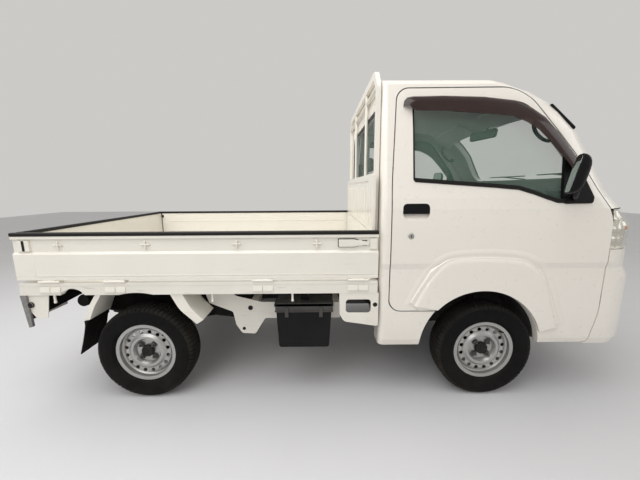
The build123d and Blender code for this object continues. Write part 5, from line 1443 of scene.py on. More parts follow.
class Nose:
    """The grille bars, the cooling intake and what stands behind them."""

    def bar(self, z: float, half: float, depth: float, height: float) -> Piece:
        """One bowed bar across an opening.

        Args:
            z: Its height.
            half: Half its length.
            depth: How far behind the truck's front it lies.
            height: How tall it is.

        Returns:
            The object.
        """
        ys = [half * (step / 8.0 - 1.0) for step in range(17)]
        path = [Vector((NOSE_X - depth - y * y / NOSE_BOW, y, z)) for y in ys]
        h = height / 2.0
        profile = [(-h, -0.012), (h, -0.012), (h, 0.001), (h * 0.5, 0.004), (-h * 0.5, 0.004), (-h, 0.001)]
        return sweep("bar", path, [Vector((1.0, 0.0, 0.0))] * len(path), profile)

    def grille(self) -> Piece:
        """The three bars in the slot between the lamps."""
        bars = [self.bar(z, 0.297, 0.047, 0.009) for z in (0.919, 0.935, 0.951)]
        ties = [box("tie", (1.632 - y * y / NOSE_BOW, y - 0.004, 0.906), (1.64 - y * y / NOSE_BOW, y + 0.004, 0.964))
                for y in (-0.2, -0.1, 0.0, 0.1, 0.2)]
        return joined("grille_bars", bars + ties)

    def intake(self) -> Piece:
        """The slats of the lower opening."""
        bars = [self.bar(z, half, 0.018, 0.01) for z, half in (
            (0.425, 0.393), (0.45, 0.403), (0.475, 0.41), (0.5, 0.416), (0.525, 0.417))]
        ties = [box("tie", (1.662 - y * y / NOSE_BOW, y - 0.005, 0.401), (1.672 - y * y / NOSE_BOW, y + 0.005, 0.559))
                for y in (-0.3, -0.1, 0.1, 0.3)]
        return joined("intake_slats", bars + ties)

    def radiator(self) -> Piece:
        """The radiator core with its upright tubes, its tanks and its cap."""
        core = box("core", (1.545, -0.36, 0.385), (1.573, 0.36, 0.575), 0.002)
        tubes = [box("tube", (1.571, y / 100.0 - 0.0016, 0.388), (1.5755, y / 100.0 + 0.0016, 0.572), 0.0005, 1)
                 for y in range(-34, 36, 2)]
        tanks = [box("tank", (1.538, -0.37, low), (1.58, 0.37, high), 0.006)
                 for low, high in ((0.36, 0.388), (0.572, 0.602))]
        return joined("radiator", [core, *tubes, *tanks])

    def build(self) -> None:
        """Makes the nose's pieces."""
        put(self.grille(), PLASTIC, "truck")
        put(self.intake(), PLASTIC, "truck")
        put(self.radiator(), CASTING, "truck")


@dataclass(frozen=True)
class Seals:
    """The black rubbers round the windscreen and the rear window."""

    screen: tuple[Corner, ...] = (
        (0.59, 1.223, 0.055), (0.55, 1.606, 0.062), (0.0, 1.617, 0.0), (-0.55, 1.606, 0.062),
        (-0.59, 1.223, 0.055), (0.0, 1.217, 0.0),
    )
    rear: tuple[Corner, ...] = (
        (0.524, 1.221, 0.062), (0.494, 1.594, 0.072), (-0.494, 1.594, 0.072), (-0.524, 1.221, 0.062),
    )

    def run(self, name: str, corners: Sequence[Corner], ahead: bool, width: float, proud: float) -> Piece:
        """One seal laid on the cab.

        Args:
            name: The seal's name.
            corners: Its line as (y, z, radius).
            ahead: Whether it lies on the nose, not on the cab's back.
            width: Its width.
            proud: How far it stands out.

        Returns:
            The object.
        """
        skin = Skin("cab_shell", "front_panel")
        line = rounded(corners, 8)
        dense = []
        for first, second in zip(line, line[1:] + line[:1]):
            steps = max(1, int(dist(first, second) / 0.03))
            for step in range(steps):
                share = step / steps
                dense.append((first[0] + (second[0] - first[0]) * share, first[1] + (second[1] - first[1]) * share))
        start_x, heading = (2.4, (-1.0, 0.0, 0.0)) if ahead else (-0.4, (1.0, 0.0, 0.0))
        hits = [skin.hit((start_x, y, z), heading) for y, z in dense]
        half = width / 2.0
        profile = [(-half, -0.004), (half, -0.004), (half, proud * 0.4), (half * 0.6, proud), (-half * 0.6, proud),
                   (-half, proud * 0.4)]
        return sweep(name, [place for place, _ in hits], [normal for _, normal in hits], profile, closed=True)

    def build(self) -> None:
        """Makes both seals."""
        put(self.run("windscreen_seal", self.screen, True, 0.02, 0.0035), RUBBER, "truck")
        put(self.run("rear_window_seal", self.rear, False, 0.022, 0.0028), RUBBER, "truck")


@dataclass(frozen=True)
class TailLamps:
    """The three-colour lamps under the bed's rear corners."""

    faces: tuple[tuple[str, float, float], ...] = (
        ("stop", 0.642, 0.705), ("turn", 0.583, 0.639), ("reverse", 0.523, 0.58),
    )
    height: Flat = (0.4935, 0.5965)
    back_x: float = -1.6845
    face_x: float = -1.6973

    def lens(self, y_from: float, y_to: float) -> Piece:
        """One coloured window of the driver's lamp, between two distances from the middle."""
        low, high = (-y_to, self.height[0]), (-y_from, self.height[1])
        return plate("lens", Facing.FRONT, tile(*low, *high, 0.012), self.face_x, self.back_x - 0.003, 0.003)

    def base(self) -> Piece:
        """The black housing of the driver's lamp."""
        low, high = self.height
        outline = tile(-0.708, low - 0.0035, -0.52, high + 0.0035, 0.014)
        return plate("base", Facing.FRONT, outline, self.back_x - 0.006, self.back_x, 0.0015)

    def build(self) -> None:
        """Makes both lamps."""
        put_pair(self.base(), PLASTIC, TRUCK, "tail_lamp_base", ("tail_lamps", "tail_lamps"))
        for (name, y_from, y_to), finish in zip(self.faces, (RED_LENS, AMBER_LENS, LENS)):
            put_pair(self.lens(y_from, y_to), finish, TRUCK, f"{name}_lens")


@dataclass(frozen=True)
class BedFittings:
    """Buffers, plugs, latch pins and rubbers on the bed and its gates."""

    buffer: Flat = (-1.652, 0.563)
    plug: Flat = (0.198, 0.553)
    hooks: tuple[float, ...] = (-1.457, -1.005, -0.531, -0.113)
    latch_x: float = 0.182
    member_y: float = -0.555

    def stud(self, name: str, x: float, z: float, y: float, radius: float, reach: float) -> Piece:
        """A round-edged stud that stands out of a face of the driver's side."""
        profile = [(radius, -0.002), (radius, reach * 0.7), (radius * 0.86, reach * 0.95), (radius * 0.5, reach),
                   (0.0, reach)]
        return lathe(name, profile, (x, y, z), OUTWARD, 28)

    def hook_bolts(self) -> Piece:
        """The round heads that hold the rope hooks to the gate."""
        heads = []
        for x in self.hooks:
            for z in (0.876, 0.906):
                heads.append(self.stud("head", x - 0.014, z, -0.7225, 0.0055, 0.004))
        return joined("hook_bolts", heads)

    def rope_hooks(self) -> Piece:
        """The upright hooks on the gate's recessed band, on their small plates."""
        pieces = []
        for x in self.hooks:
            line = [(x, -0.7225, 0.907), (x, -0.73, 0.909), (x, -0.731, 0.9), (x, -0.7305, 0.884),
                    (x, -0.73, 0.868)]
            pieces.append(tube("hook", line, 0.0048))
            foot = tile(x - 0.015, 0.868, x + 0.015, 0.914, 0.004)
            pieces.append(plate("foot", Facing.SIDE, foot, 0.723, 0.7255, 0.0008))
        return joined("gate_hooks", pieces)

    def corner_gap_shade(self) -> Piece:
        """A dark plate beside the corner's catch that paints the shade in the gap there."""
        return plate("gap_shade", Facing.SIDE, tile(-1.637, 0.86, -1.624, 0.914, 0.003), 0.729, 0.7364, 0.0008)

    def corner_seal(self) -> Piece:
        """The rubber between the gate's rear end and the tail gate, with the catch inside."""
        return joined("corner_seal", [
            box("seal", (-1.6636, -0.71, 0.706), (-1.659, -0.706, 0.94), 0.001),
            box("catch", (-1.6636, -0.71, 0.898), (-1.642, -0.703, 0.922), 0.002),
        ])

    def beads(self) -> Piece:
        """The stamped beads along both faces of the gate and up its rear end."""
        front, rear = 0.16, -1.585
        return joined("gate_beads", [
            box("outer_bead", (rear, -0.7371, 0.723), (front, -0.734, 0.73), 0.0012),
            box("end_bead", (rear - 0.006, -0.7371, 0.723), (rear, -0.734, 0.835), 0.0012),
            box("inner_bead", (rear, -0.71, 0.858), (front, -0.7066, 0.868), 0.0016),
            box("inner_low_bead", (rear, -0.71, 0.76), (front, -0.7066, 0.77), 0.0016),
        ])

    def lever(self, name: str, grow: float, low: float, high: float) -> Piece:
        """The latch's tapered lever, or the dark plate that spreads under it as the lever's painted shadow outline,
        between two depths.
        """
        outline = rounded([
            (-grow, 0.872 - grow, 0.005), (0.082, 0.872 - grow, 0.008), (0.112, 0.88 - grow, 0.01),
            (0.146 + grow, 0.881 - grow, 0.003), (0.146 + grow, 0.901 + grow, 0.003), (0.112, 0.903 + grow, 0.01),
            (0.082, 0.911 + grow, 0.008), (-grow, 0.911 + grow, 0.005),
        ])
        return plate(name, Facing.SIDE, outline, low, high, min(0.0015, (high - low) * 0.4))

    def shade_panel(self) -> Piece:
        """A black plate in front of the rear lamps that paints the shade on the forward face of the rear panel."""
        outline = rounded([(-0.716, 0.472, 0.01), (-0.255, 0.5, 0.02), (-0.255, 0.618, 0.004), (-0.716, 0.618, 0.004)])
        return plate("shade_panel", Facing.FRONT, outline, -1.6808, -1.6772, 0.0008)

    def lamp_wing(self) -> Piece:
        """The grey bracket beside the rear lamp."""
        outline = rounded([(-1.6972, 0.619, 0.003), (-1.664, 0.619, 0.003), (-1.656, 0.441, 0.004),
                           (-1.677, 0.436, 0.004)])
        return plate("wing", Facing.SIDE, outline, 0.718, 0.733, 0.0015)

    def shade_plates(self) -> Piece:
        """Black inner plates on both sides of the rear axle that paint the shade under the bed."""
        rear = rounded([(-1.355, 0.462, 0.02), (-0.845, 0.462, 0.02), (-0.845, 0.617, 0.004), (-1.355, 0.617, 0.004)])
        front = rounded([(-0.8, 0.43, 0.03), (-0.6, 0.405, 0.02), (-0.585, 0.617, 0.004), (-0.82, 0.617, 0.004)])
        return joined("shade_plates", [plate("shade_plate", Facing.SIDE, rear, 0.5465, 0.5495, 0.001),
                                  plate("shade_plate", Facing.SIDE, front, 0.5465, 0.5495, 0.001)])

    def flap(self) -> Piece:
        """The rubber flap, bowed backwards below its clamped edge."""
        outer, inner = [], []
        for row in range(15):
            drop = row / 14.0
            x = -1.3705 - 0.052 * drop ** 1.25
            z = 0.4712 - 0.193 * drop
            outer.append([Vector((x, y, z)) for y in (-0.732, -0.69, -0.646, -0.602, -0.56)])
            inner.append([point + Vector((0.006, 0.0, 0.0)) for point in outer[-1]])
        strip = box("strip", (-1.375, -0.733, 0.448), (-1.36, -0.559, 0.472), 0.002)
        return joined("flap", [shell("sheet", outer, inner), strip])

    def latch(self) -> Piece:
        """The latch's pivot bolt and the edge of its plate."""
        x = self.latch_x
        bolt = self.stud("bolt", x - 0.032, 0.889, -0.7245, 0.0105, 0.0085)
        edge = tile(x - 0.019, 0.858, x + 0.019, 0.917, 0.004)
        hole = tile(x - 0.016, 0.861, x + 0.016, 0.914, 0.003)
        frame_piece = plate("frame", Facing.SIDE, edge, 0.724, 0.7292, 0.0006, [hole])
        return joined("latch_trim", [bolt, frame_piece])

    def pin(self) -> Piece:
        """The latch's black pin, hooked over its keeper."""
        x = self.latch_x
        arc = [(x - 0.004, -0.731, 0.903), (x + 0.007, -0.731, 0.9), (x + 0.009, -0.731, 0.889),
               (x + 0.005, -0.731, 0.88), (x - 0.005, -0.731, 0.876)]
        return tube("pin", arc, 0.0034)

    def build(self) -> None:
        """Makes the fittings of both sides."""
        x, z = self.buffer
        put_pair(self.stud("buffer", x, z, -0.7215, 0.0158, 0.0115), RUBBER, TRUCK, "rear_buffer")
        x, z = self.plug
        put_pair(self.stud("plug", x, z, -0.7265, 0.0125, 0.0055), RUBBER, TRUCK, "bracket_plug")
        put_pair(self.hook_bolts(), BED_WHITE, SIDE_GATES, "hook_bolts")
        put_pair(self.rope_hooks(), BED_WHITE, SIDE_GATES, "gate_hooks")
        # A dark plate flush with the gate paints the shade in the gap beside the catch.
        put_pair(self.corner_gap_shade(), RUBBER, SIDE_GATES, "catch_gap_shade")
        # A black plate paints the shade on the rear panel's forward face.
        put_pair(self.shade_panel(), FLAP, TRUCK, "rear_valance")
        put_pair(self.lamp_wing(), GALVANISED, TRUCK, "lamp_wing")
        # Black plates paint the shade under the bed beside the rear axle.
        put_pair(self.shade_plates(), FLAP, TRUCK, "inner_shade_plates")
        for x, z, radius in ((-0.516, 0.468, 0.0145), (-0.56, 0.336, 0.01)):
            plug = self.stud("plug", x, z, self.member_y, radius, 0.004)
            put_pair(plug, RUBBER, TRUCK, f"member_plug_{round(-x * 1000)}")
        put_pair(self.flap(), FLAP, TRUCK, "mud_flap", ("mud_flaps", "mud_flaps"))
        put_pair(self.latch(), BED_WHITE, SIDE_GATES, "latch_trim")
        put_pair(self.lever("lever", 0.0, 0.7275, 0.7345), BED_WHITE, SIDE_GATES, "latch_lever")
        # A dark plate a little larger than the lever, set under it, paints the lever's shadow outline.
        put_pair(self.lever("pad", 0.0035, 0.7225, 0.7262), RUBBER, SIDE_GATES, "latch_painted_shadow")
        put_pair(self.corner_seal(), RUBBER, SIDE_GATES, "corner_seal")
        put_pair(self.beads(), BED_WHITE, SIDE_GATES, "gate_beads")
        put_pair(self.pin(), RUBBER, SIDE_GATES, "latch_pin")


@dataclass(frozen=True)
class UnderBed:
    """The battery's lid, the filler and the dampers."""

    battery: tuple[Flat, Flat, Flat] = ((-0.342, -0.034), (-0.7, -0.565), (0.293, 0.549))
    axle_x: float = -1.079
    spring_y: float = 0.52

    def battery_lid(self) -> Piece:
        """The paler lid with its overhanging rim and its clips."""
        (x1, x2), (y1, y2), (_, z2) = self.battery
        rim = tile(x1 - 0.004, y1 - 0.004, x2 + 0.004, y2 + 0.004, 0.008)
        skirt = plate("skirt", Facing.PLAN, rim, z2 - 0.044, z2 + 0.002, 0.003)
        lip = tile(x1 - 0.007, y1 - 0.007, x2 + 0.007, y2 + 0.007, 0.01)
        edge = plate("edge", Facing.PLAN, lip, z2 - 0.048, z2 - 0.042, 0.002)
        clips = [box("clip", (x - 0.01, y1 - 0.011, z2 - 0.075), (x + 0.01, y1 - 0.006, z2 - 0.02), 0.002)
                 for x in (x1 + 0.06, x2 - 0.06)]
        return joined("battery_lid", [skirt, edge, *clips])

    def filler(self) -> Piece:
        """The fuel filler's black neck and cap behind the sill's notch."""
        neck = tube("neck", [(-1.415, -0.64, 0.56), (-1.4, -0.56, 0.545), (-1.33, -0.47, 0.5),
                             (-1.2, -0.44, 0.47)], 0.024)
        cap = lathe("cap", [(0.0, 0.018), (0.03, 0.018), (0.034, 0.012), (0.034, -0.004), (0.026, -0.012),
                            (0.0, -0.012)], (-1.418, -0.652, 0.563), (0, -1, 0.15), 18)
        return joined("fuel_filler", [neck, cap])

    def damper(self) -> Piece:
        """The driver's rear damper, from the rail down to the spring seat."""
        foot = Vector((self.axle_x - 0.09, -self.spring_y + 0.07, 0.235))
        head = Vector((self.axle_x - 0.27, -0.415, 0.52))
        heading = (head - foot).normalized()
        reach = (head - foot).length
        body = [(0.0, 0.0), (0.012, 0.0), (0.012, 0.018), (0.02, 0.022), (0.02, reach * 0.52), (0.018, reach * 0.54),
                (0.024, reach * 0.55), (0.024, reach * 0.9), (0.01, reach * 0.92), (0.01, reach), (0.0, reach)]
        return lathe("damper", body, tuple(foot), tuple(heading), 28)

    def build(self) -> None:
        """Makes the pieces under the bed."""
        put(self.battery_lid(), LID, "truck")
        put(self.filler(), FLAP, "truck")
        put_pair(self.damper(), CHASSIS, TRUCK, "rear_damper")


@dataclass(frozen=True)
class SteeringWheel:
    """The thin-rimmed black wheel with its three spokes and its horn pad."""

    centre: Point = (1.15, -0.335, 1.04)
    lean: float = 36.87
    radius: float = 0.178
    grip: float = 0.0125
    spoke_section: tuple[Flat, ...] = (
        (-1.0, -0.3), (-0.8, -1.0), (0.8, -1.0), (1.0, -0.3), (0.8, 0.7), (0.0, 1.0), (-0.8, 0.7),
    )

    def place(self, across: float, up: float, out: float) -> Vector:
        """A point by its place on the wheel.

        Args:
            across: How far it lies to the truck's left.
            up: How far it lies towards the wheel's top.
            out: How far it stands towards the driver.

        Returns:
            The point.
        """
        lean = radians(self.lean)
        along = Vector((-sin(lean), 0.0, cos(lean)))
        top = Vector((cos(lean), 0.0, sin(lean)))
        return Vector(self.centre) + Vector((0.0, across, 0.0)) + top * up + along * out

    def rim(self) -> Piece:
        """The rim, with finger waves behind it."""
        rings = []
        count, around = 96, 12
        for step in range(count):
            bearing = 2.0 * pi * step / count
            wave = 0.0012 * cos(bearing * 24.0)
            ring = []
            for part in range(around):
                angle = 2.0 * pi * part / around
                reach = self.grip + (wave if sin(angle) < 0.0 else 0.0)
                radius = self.radius + reach * cos(angle)
                ring.append(self.place(radius * cos(bearing), radius * sin(bearing), reach * sin(angle)))
            rings.append(ring)
        return mesh_piece("rim", [point for ring in rings for point in ring], bands(count, around, closed=True))

    def spoke(self, bearing: float, width: float) -> Piece:
        """One dished spoke.

        Args:
            bearing: Its direction in degrees, 0 to the truck's left and 90 to the wheel's top.
            width: Its width at the hub.

        Returns:
            The object.
        """
        angle = radians(bearing)
        rings = []
        for share in (0.0, 0.2, 0.45, 0.7, 0.9, 1.0):
            reach = 0.03 + (self.radius - 0.034) * share
            half = width * (0.5 - 0.22 * share)
            out = 0.004 - 0.01 * sin(share * pi * 0.5) + 0.006 * share
            ring = []
            for across, rise in self.spoke_section:
                u = reach * cos(angle) - across * half * sin(angle)
                v = reach * sin(angle) + across * half * cos(angle)
                ring.append(self.place(u, v, out + rise * 0.0065))
            rings.append(ring)
        return loft("spoke", rings)

    def pad(self) -> Piece:
        """The soft-edged horn pad and the hub behind it."""
        outline = rounded([(-0.052, -0.046, 0.02), (0.052, -0.046, 0.02), (0.062, 0.036, 0.026),
                           (-0.062, 0.036, 0.026)], 8)
        rings = []
        for scale, out in ((0.7, -0.018), (0.95, -0.014), (1.0, -0.004), (1.0, 0.008), (0.97, 0.013), (0.88, 0.017),
                           (0.6, 0.0195), (0.05, 0.0205)):
            rings.append([self.place(u * scale, v * scale, out) for u, v in outline])
        return loft("pad", rings)

    def build(self) -> None:
        """Makes the wheel."""
        spokes = [self.spoke(bearing, width) for bearing, width in ((8.0, 0.036), (172.0, 0.036), (270.0, 0.044))]
        wheel = joined("steering_wheel_dressed", [self.rim(), self.pad(), *spokes])
        put(wheel, CABIN, "steering_wheel", ["steering_wheel"])


@dataclass(frozen=True)
class Cabin:
    """The lining, the instruments and the fittings inside the cab."""

    lining_x: Flat = (0.285, 1.12)
    lining_half: float = 0.6

    def roof_grid(self, x_span: Flat, y_span: Flat, drop: float, counts: tuple[int, int]) -> list[list[Vector]]:
        """Points under the roof.

        Args:
            x_span: Their first and last X.
            y_span: Their first and last Y.
            drop: How far under the roof's inner face they lie.
            counts: How many rows and how many points in each.

        Returns:
            The rows of points.
        """
        skin = Skin("cab_shell")
        grid = []
        for row in range(counts[0]):
            x = x_span[0] + (x_span[1] - x_span[0]) * row / (counts[0] - 1)
            line = []
            for column in range(counts[1]):
                y = y_span[0] + (y_span[1] - y_span[0]) * column / (counts[1] - 1)
                place, _ = skin.hit((x, y, 1.3), (0.0, 0.0, 1.0))
                line.append(place - Vector((0.0, 0.0, drop)))
            grid.append(line)
        return grid

    def headlining(self) -> Piece:
        """The sheet under the roof, with two welts across it."""
        counts = (36, 25)
        span = (-self.lining_half, self.lining_half)
        upper = self.roof_grid(self.lining_x, span, 0.004, counts)
        lower = self.roof_grid(self.lining_x, span, 0.01, counts)
        for row in (12, 24):
            lower[row] = [point - Vector((0.0, 0.0, 0.005)) for point in lower[row]]
        return shell("headlining", upper, lower)

    def sun_visor(self) -> Piece:
        """The driver's sun visor with its pivot."""
        upper = self.roof_grid((0.965, 1.105), (-0.545, -0.145), 0.016, (7, 15))
        lower = self.roof_grid((0.965, 1.105), (-0.545, -0.145), 0.034, (7, 15))
        blade = shell("blade", upper, lower)
        y = -0.56
        top = upper[-1][0]
        arm = tube("arm", [(top.x, y, top.z + 0.01), (top.x, y, top.z - 0.01), (top.x, y + 0.04, top.z - 0.01)], 0.0045)
        return joined("sun_visor", [blade, arm])

    def inner_mirror(self) -> tuple[Piece, Piece]:
        """The rear-view mirror: its shell with its stem, and its glass."""
        plane = Tilted((1.082, -0.01, 1.545), (0.24, -0.97, 0.0), (0.12, 0.0, 0.99))
        outline = rounded([(-0.118, -0.031, 0.02), (0.118, -0.031, 0.02), (0.124, 0.032, 0.024),
                           (-0.124, 0.032, 0.024)])
        small = [(u * 0.95, v * 0.86) for u, v in outline]
        back = plate("back", plane, outline, -0.02, 0.002, 0.006)
        stem = tube("stem", [(1.095, -0.01, 1.555), (1.118, -0.006, 1.575), (1.132, 0.0, 1.606)], 0.007)
        shoe = lathe("shoe", [(0.0, 0.0), (0.02, 0.0), (0.018, 0.006), (0.009, 0.01), (0.0, 0.01)],
                     (1.134, 0.0, 1.612), (-0.4, 0.0, -0.9), 24)
        mirror = joined("inner_mirror", [back, stem, shoe])
        return mirror, plate("inner_mirror_glass", plane, small, 0.001, 0.0032, 0.0008)

    def grab_handle(self) -> Piece:
        """The handle on the driver's windscreen pillar."""
        bar = tube("bar", [(1.07, -0.622, 1.548), (1.04, -0.596, 1.52), (1.052, -0.588, 1.47), (1.1, -0.588, 1.424),
                           (1.142, -0.598, 1.412), (1.16, -0.628, 1.425)], 0.0095)
        pads = [lathe("pad", [(0.0, -0.006), (0.017, -0.006), (0.016, 0.004), (0.0, 0.007)], place, (0, 1, 0), 24)
                for place in ((1.07, -0.626, 1.548), (1.16, -0.632, 1.425))]
        return joined("grab_handle", [bar, *pads])

    def instruments(self) -> Piece:
        """The hood, the dials' cowl, the vents, the centre panel and the glove box."""
        hood = rounded([(1.324, 1.098, 0.004), (1.316, 1.148, 0.01), (1.345, 1.168, 0.02), (1.39, 1.164, 0.03),
                        (1.432, 1.116, 0.02), (1.42, 1.098, 0.004)], 6)
        pieces = [plate("hood", Facing.SIDE, hood, 0.18, 0.5, 0.01)]
        face = Tilted((1.2165, 0.0, 1.000), (0.0, -1.0, 0.0), (-0.13, 0.0, 1.0))
        ring = [(0.052 * cos(a * pi / 16), 0.052 * sin(a * pi / 16)) for a in range(32)]
        for y, size in ((0.285, 0.72), (0.375, 1.0)):
            dial = [(y + u * size, 0.026 + v * size * 0.58) for u, v in ring]
            pieces.append(plate("dial", face, dial, -0.004, 0.003, 0.0012))
        for y in (-0.545, -0.11, 0.11, 0.545):
            pieces.append(plate("vent", face, tile(y - 0.052, 0.01, y + 0.052, 0.058, 0.01), -0.004, 0.0045, 0.0015))
            for index in range(4):
                v = 0.018 + 0.0105 * index
                slat = tile(y - 0.044, v, y + 0.044, v + 0.005, 0.0)
                pieces.append(plate("slat", face, slat, 0.003, 0.0072, 0.0008))
        pieces.append(plate("centre", face, tile(-0.1, -0.088, 0.1, 0.006, 0.01), -0.01, 0.005, 0.002))
        for u in (-0.062, 0.0, 0.062):
            knob = [(u + 0.016 * cos(a * pi / 10), -0.06 + 0.016 * sin(a * pi / 10)) for a in range(20)]
            pieces.append(plate("knob", face, knob, 0.003, 0.018, 0.002))
        pieces.append(plate("lid", face, tile(-0.56, -0.07, -0.2, 0.004, 0.014), -0.01, 0.0035, 0.002))
        return joined("dashboard_trim", pieces)

    def dash_top(self) -> Piece:
        """The black sheet from the dashboard's crest to the windscreen's foot."""
        outer, inner = [], []
        for step in range(15):
            y = 0.585 * (step / 7.0 - 1.0)
            bow = y * y / NOSE_BOW
            outer.append([Vector((1.322, y, 1.118)), Vector((1.345, y, 1.13)), Vector((1.415 - bow * 0.5, y, 1.148)),
                          Vector((1.452 - bow, y, 1.17)), Vector((1.472 - bow, y, 1.196))])
            inner.append([point + Vector((0.004, 0.0, -0.006)) for point in outer[-1]])
        return shell("dash_top", outer, inner)

    def pedal_pads(self) -> Piece:
        """The ribbed rubber on the three pedals."""
        pieces = []
        for y in (-0.42, -0.33, -0.25):
            pieces.append(box("pad", (1.387, y - 0.029, 0.502), (1.3925, y + 0.029, 0.563), 0.002))
            for index in range(4):
                z = 0.511 + 0.0125 * index
                pieces.append(box("rib", (1.384, y - 0.023, z), (1.3875, y + 0.023, z + 0.005), 0.001, 1))
        return joined("pedal_pads", pieces)

    def belt(self) -> Piece:
        """The driver's belt, from its guide to its reel, with its tongue."""
        strap = plate("strap", Facing.SIDE, [(0.272, 0.76), (0.314, 0.76), (0.31, 1.372), (0.27, 1.372)],
                      0.618, 0.6196, 0.0004)
        guide = box("guide", (0.264, -0.634, 1.352), (0.318, -0.612, 1.388), 0.006)
        reel = box("reel", (0.266, -0.64, 0.69), (0.33, -0.585, 0.765), 0.008)
        tongue = box("tongue", (0.268, -0.624, 1.06), (0.318, -0.612, 1.092), 0.004)
        return joined("seat_belt", [strap, guide, reel, tongue])

    def buckle(self) -> Piece:
        """The buckle on its stalk beside the driver's seat."""
        stalk = tube("stalk", [(0.372, -0.088, 0.68), (0.38, -0.09, 0.74), (0.395, -0.092, 0.79)], 0.007)
        head = box("head", (0.38, -0.108, 0.78), (0.412, -0.078, 0.842), 0.006)
        return joined("belt_buckle", [stalk, head])

    def build(self) -> None:
        """Makes the cab's inside."""
        put(self.headlining(), LINING, "truck")
        put_pair(self.sun_visor(), LINING, TRUCK, "sun_visor")
        mirror, glass = self.inner_mirror()
        put(mirror, CABIN, "truck")
        put(glass, MIRROR, "truck")
        put_pair(self.grab_handle(), CABIN, TRUCK, "grab_handle")
        put(self.instruments(), CABIN, "truck")
        put(self.dash_top(), CABIN, "truck")
        put(self.pedal_pads(), RUBBER, "truck")
        put_pair(self.belt(), CABIN, TRUCK, "seat_belt")
        put_pair(self.buckle(), CABIN, TRUCK, "belt_buckle")


@dataclass(frozen=True)
class DoorCard:
    """The trim inside the driver's door, and its twin."""

    outline: tuple[Corner, ...] = (
        (0.312, 0.672, 0.03), (1.08, 0.672, 0.06), (1.318, 0.72, 0.06), (1.318, 1.02, 0.04),
        (1.11, 1.046, 0.06), (0.93, 1.092, 0.1), (0.312, 1.1, 0.03),
    )

    def panel(self) -> Piece:
        """The trim sheet, its armrest, its winder and its pull."""
        sheet = plate("sheet", Facing.SIDE, rounded(self.outline, 6), 0.6835, 0.693, 0.002)
        rest = plate("rest", Facing.SIDE, rounded([(0.47, 0.862, 0.02), (0.9, 0.872, 0.02), (0.93, 0.905, 0.015),
                                                   (0.47, 0.905, 0.02)]), 0.635, 0.685, 0.012)
        pull = plate("pull", Facing.SIDE, rounded([(0.985, 0.96, 0.01), (1.09, 0.96, 0.01), (1.09, 0.992, 0.012),
                                                   (0.985, 0.992, 0.012)]), 0.672, 0.685, 0.004)
        y = -0.685
        hub = lathe("hub", [(0.0, 0.0), (0.02, 0.0), (0.018, 0.014), (0.0, 0.016)], (0.76, y, 0.8), (0, 1, 0), 24)
        arm = tube("arm", [(0.76, y + 0.012, 0.8), (0.72, y + 0.016, 0.775), (0.68, y + 0.018, 0.752)], 0.006)
        knob = lathe("knob", [(0.0, 0.0), (0.008, 0.0), (0.009, 0.012), (0.013, 0.02), (0.012, 0.032), (0.0, 0.036)],
                     (0.68, y + 0.016, 0.752), (0, 1, 0), 20)
        return joined("door_card", [sheet, rest, pull, hub, arm, knob])

    def build(self) -> None:
        """Makes both doors' trim."""
        put_pair(self.panel(), CABIN, DOORS, "door_card")


@dataclass(frozen=True)
class Stuffing:
    """How a sewn cover swells over its foam."""

    voxel: float = 0.009
    pressure: float = 4.0
    steps: int = 20
    cap: float = 0.01
    crease: float = 80.0

    def copy_of(self, piece: Piece) -> bpy.types.Mesh:
        """A piece's mesh with its modifiers applied."""
        graph = bpy.context.evaluated_depsgraph_get()
        return bpy.data.meshes.new_from_object(piece.evaluated_get(graph), depsgraph=graph)

    def swell(self, piece: Piece, floor: float) -> Piece:
        """Blows a closed form up under its cover, as far as the cap lets it.

        Args:
            piece: The form, which is removed.
            floor: The height that it rests on and stays above.

        Returns:
            The swollen form.
        """
        remesh = piece.modifiers.new("remesh", "REMESH")
        remesh.mode = "VOXEL"
        remesh.voxel_size = self.voxel
        bpy.context.view_layer.update()
        mesh = self.copy_of(piece)
        name = piece.name
        bpy.data.objects.remove(piece)
        body = shown(name, mesh)
        start = [vertex.co.copy() for vertex in mesh.vertices]
        cloth = body.modifiers.new("cloth", "CLOTH")
        cloth.settings.use_pressure = True
        cloth.settings.uniform_pressure_force = self.pressure
        cloth.settings.effector_weights.gravity = 0.0
        for step in range(1, self.steps + 1):
            bpy.context.scene.frame_set(step)
        swollen = self.copy_of(body)
        body.modifiers.remove(cloth)
        bpy.context.scene.frame_set(1)
        for vertex, rest, moved in zip(mesh.vertices, start, swollen.vertices):
            shift = moved.co - rest
            if shift.length > self.cap:
                shift *= self.cap / shift.length
            place = rest + shift
            place.z = max(place.z, floor)
            vertex.co = place
        bpy.data.meshes.remove(swollen)
        return body

    def rounded_off(self, body: Piece) -> Piece:
        """Subdivides a swollen form once.

        Args:
            body: The form, which is removed.

        Returns:
            The finer form.
        """
        divide = body.modifiers.new("divide", "SUBSURF")
        divide.levels = 1
        divide.render_levels = 1
        bpy.context.view_layer.update()
        mesh = self.copy_of(body)
        name = body.name
        bpy.data.objects.remove(body)
        return smoothed(shown(name, mesh), self.crease)


